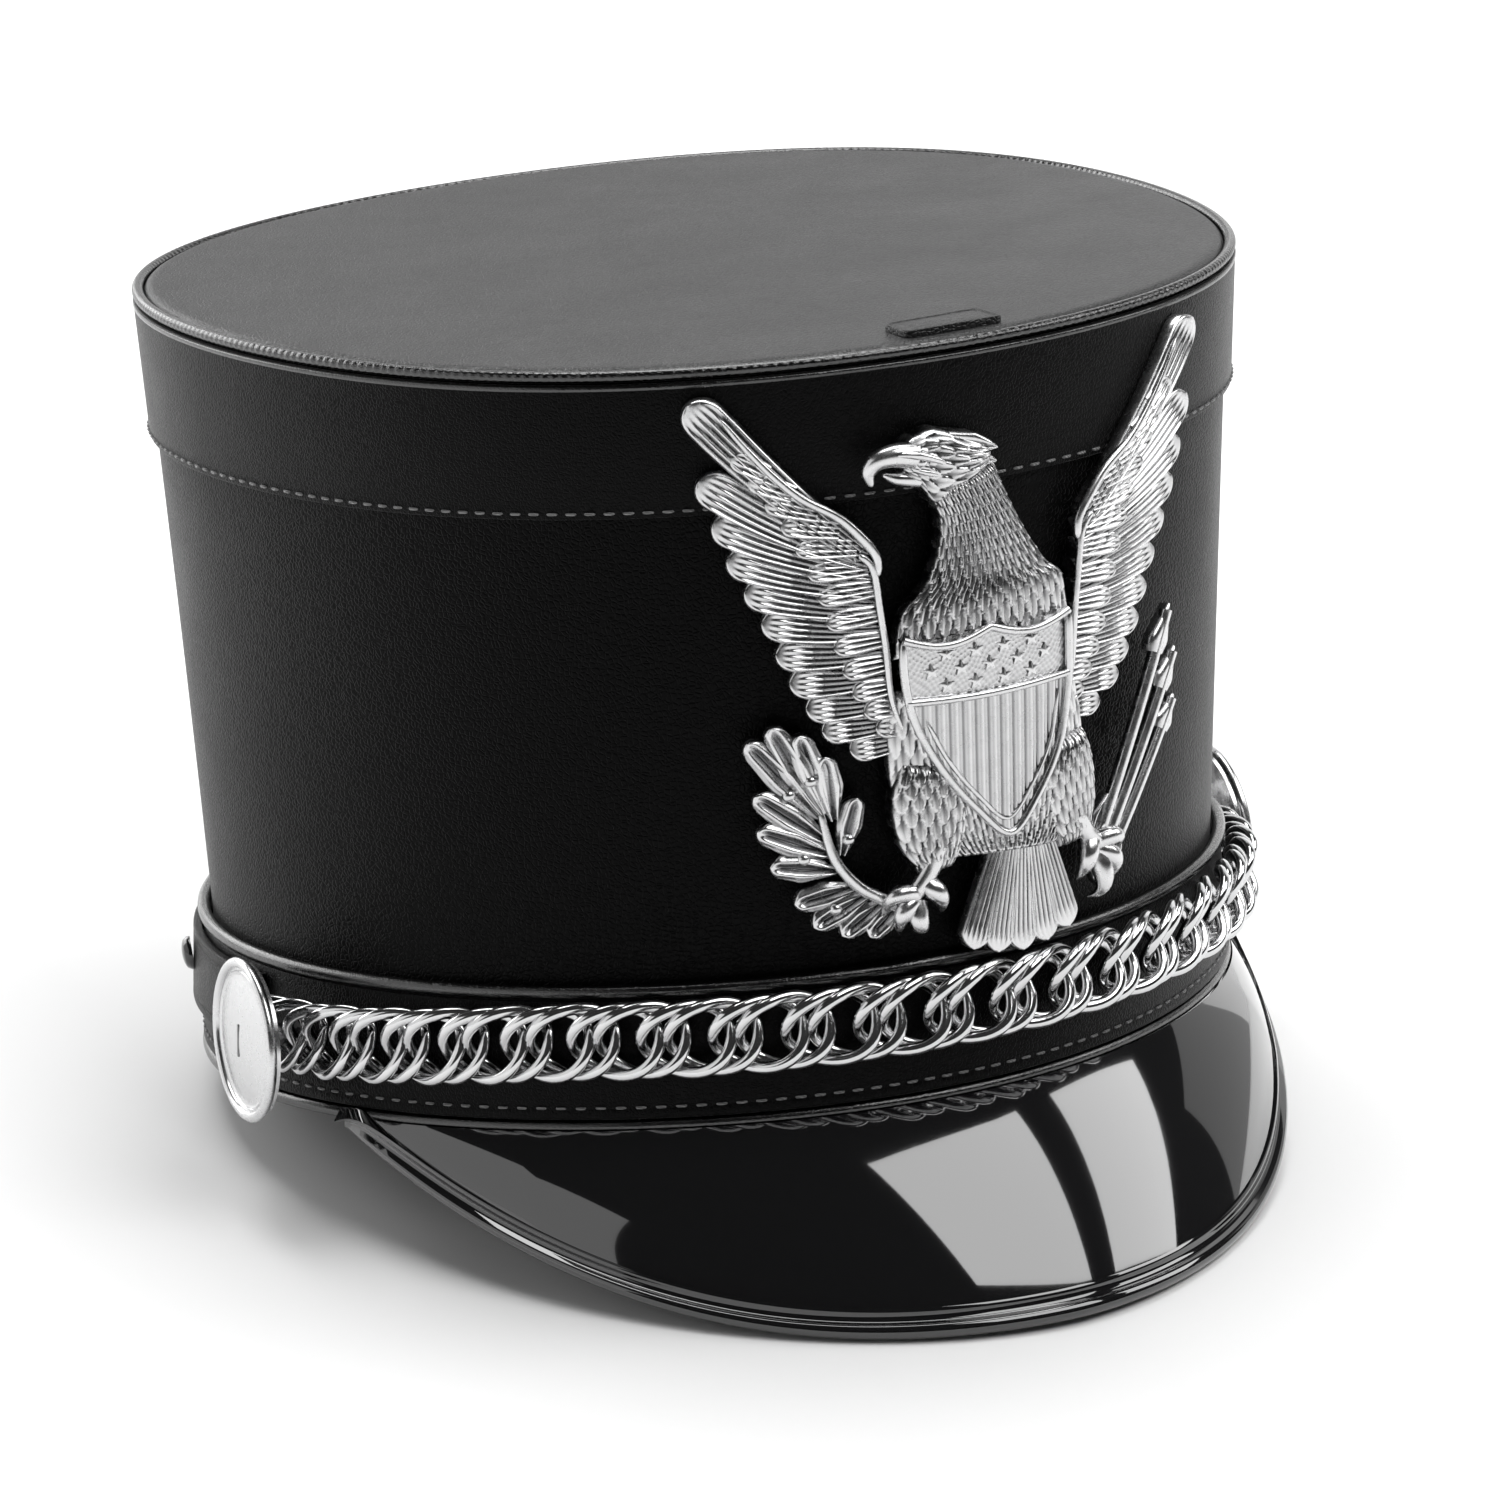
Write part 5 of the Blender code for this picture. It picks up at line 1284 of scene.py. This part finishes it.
def build_crown():
    """The wall, the top with its tab and welt, the bands, the rolls and the rows of stitches."""
    add_piece("crown_wall_leather", crown_shell(), "wall_leather", ["crown_wall"])
    add_piece("top_disc", top_disc(), "top_leather", ["crown_top"])
    welt = roll(CROWN_HEIGHT - TOP_WELT_RADIUS, top_welt_outset(), TOP_WELT_RADIUS)
    under = top_welt_outset() + TOP_WELT_RADIUS - EDGE_ROLL_RADIUS * 0.8
    edge = roll(CROWN_HEIGHT - 2 * TOP_WELT_RADIUS - GAP - EDGE_ROLL_RADIUS, under, EDGE_ROLL_RADIUS)
    rings = joined([swept_ring(welt, PUCKERS * 6, PUCKER_DEPTH, PUCKERS), swept_ring(edge)])
    add_piece("top_welt_roll", rings, "welt_leather", ["top_welt"])
    add_piece("top_band_leather", top_band(), "band_leather", ["top_band"])
    stitches = stitches_round(CROWN_HEIGHT - TOP_BAND_DEPTH + BAND_STITCH_RISE, GAP + TOP_BAND_THICKNESS)
    add_piece("top_band_stitches", stitches, "band_leather", material=PAINTED_HIGHLIGHT_THREAD)
    add_piece("headband_leather", headband(), "band_leather", ["headband"])
    stitches = stitches_round(HEADBAND_STITCH_HEIGHT, headband_face(HEADBAND_STITCH_HEIGHT) - STITCH_SINK)
    add_piece("headband_stitches", stitches, "band_leather", material=PAINTED_HIGHLIGHT_THREAD)
    radius = HEADBAND_WELT_RADIUS
    welt = swept_ring(roll(HEADBAND_TOP + GAP + radius, GAP + radius, radius))
    add_piece("headband_welt_roll", welt, "welt_leather", ["headband_welt"])
    add_piece("rim_bead", rim_binding(), "welt_leather", ["rim_binding"])
    add_piece("plume_tab", plume_flap(), "top_leather", ["plume_flap"])


def build_peak():
    """The peak and its binding."""
    add_piece("peak_sheet", peak(), "peak_patent", ["peak"])
    add_piece("peak_edge_binding", peak_binding(), "peak_patent", ["peak_binding"])


def build_hardware():
    """The chain, the buttons, the chin strap and the studs."""
    add_piece("curb_chain", chain(), "chain_chrome", ["chain"])
    for side, word in ((-1, "left"), (1, "right")):
        add_piece(f"button_{word}", side_button(side), "badge_chrome", [f"side_button_{word}"], sharp=35)
        # The slot is a black bar: painted shade of the slot's hollow.
        add_piece(f"button_slot_shade_{word}", button_slot_shade(side), "stud_black")
        add_piece(f"stud_{word}", strap_stud(side), "stud_black", [f"strap_stud_{word}"])
    add_piece("chin_strap_leather", chin_strap(), "band_leather", ["chin_strap"])


def build_badge():
    """The badge's pieces in place of its plain casting, the left wing the right one's mirror image."""
    add_badge_piece("eagle_wings", wing(1) + wing(-1))
    for form in (eagle_body, eagle_shield, olive_branch, arrow_bundle):
        add_badge_piece(form.__name__, form())


def facing(azimuth, elevation, turn=0.0):
    """Across, up and outward unit vectors of a plane square to a direction, turned within the plane.

    The angles are in degrees. Azimuth runs from the front, positive to the viewer's right.
    """
    around, above, turn = math.radians(azimuth), math.radians(elevation), math.radians(turn)
    level = math.cos(above)
    out = Vector((math.sin(around) * level, -math.cos(around) * level, math.sin(above)))
    across = Vector(UP).cross(out).normalized()
    up = out.cross(across)
    return math.cos(turn) * across + math.sin(turn) * up, math.cos(turn) * up - math.sin(turn) * across, out


def place_camera():
    """The camera at the photograph's angle, its shift as the photograph's framing needs."""
    axes = facing(CAMERA_AZIMUTH, CAMERA_ELEVATION, CAMERA_ROLL)
    lens = bpy.data.cameras.new("camera")
    lens.sensor_width = SENSOR_WIDTH
    lens.lens = FOCAL_PIXELS / PHOTO_SIZE * SENSOR_WIDTH
    lens.shift_x = (PHOTO_SIZE / 2 - CENTRE_ACROSS) / PHOTO_SIZE
    lens.shift_y = (CENTRE_DOWN - PHOTO_SIZE / 2) / PHOTO_SIZE
    lens.clip_start = 0.05
    camera = bpy.data.objects.new("camera", lens)
    turn = STANCE.to_3x3() @ Matrix(axes).transposed()
    place = STANCE @ (CAMERA_TARGET + axes[2] * CAMERA_DISTANCE)
    camera.matrix_world = Matrix.Translation(place) @ turn.to_4x4()
    bpy.context.scene.collection.objects.link(camera)
    bpy.context.scene.camera = camera


def light_panel(name, towards, size, brightness, distance=1.5, offset=(0.0, 0.0), turn=0.0):
    """A flat soft box square to a direction from the hat, moved and turned within its own plane."""
    across, up, out = facing(*towards, turn)
    panel = bpy.data.lights.new(name, "AREA")
    panel.shape = "RECTANGLE"
    panel.size, panel.size_y = size
    panel.energy = brightness * math.pi * size[0] * size[1]
    light = bpy.data.objects.new(name, panel)
    centre = LIGHT_CENTRE + out * distance + across * offset[0] + up * offset[1]
    light.matrix_world = Matrix.Translation(centre) @ Matrix((across, up, out)).transposed().to_4x4()
    light.visible_camera = False
    bpy.context.scene.collection.objects.link(light)


def build_studio():
    """A plain pale floor in a dim room, with soft boxes round the hat as a product table has."""
    mesh = bpy.data.meshes.new("floor")
    corners = [(x * FLOOR_HALF, y * FLOOR_HALF, FLOOR_DROP) for x, y in ((-1, -1), (1, -1), (1, 1), (-1, 1))]
    mesh.from_pydata(corners, [], [(0, 1, 2, 3)])
    floor = bpy.data.objects.new("floor", mesh)
    bpy.context.scene.collection.objects.link(floor)
    mesh.materials.append(finished(new_material("pale floor")[0], {
        "Base Color": grey(0.86), "Roughness": 0.8, "Specular IOR Level": 0.1}))
    world = bpy.data.worlds.new("studio")
    world.use_nodes = True
    fill(world.node_tree, world.node_tree.nodes["Background"], {"Color": grey(1.0), "Strength": ROOM_LIGHT})
    bpy.context.scene.world = world
    bpy.context.scene.view_settings.view_transform = "Standard"
    for panel in LIGHTS:
        light_panel(*panel)


paint_frame_nodes()
build_crown()
build_peak()
build_hardware()
build_badge()
place_camera()
build_studio()
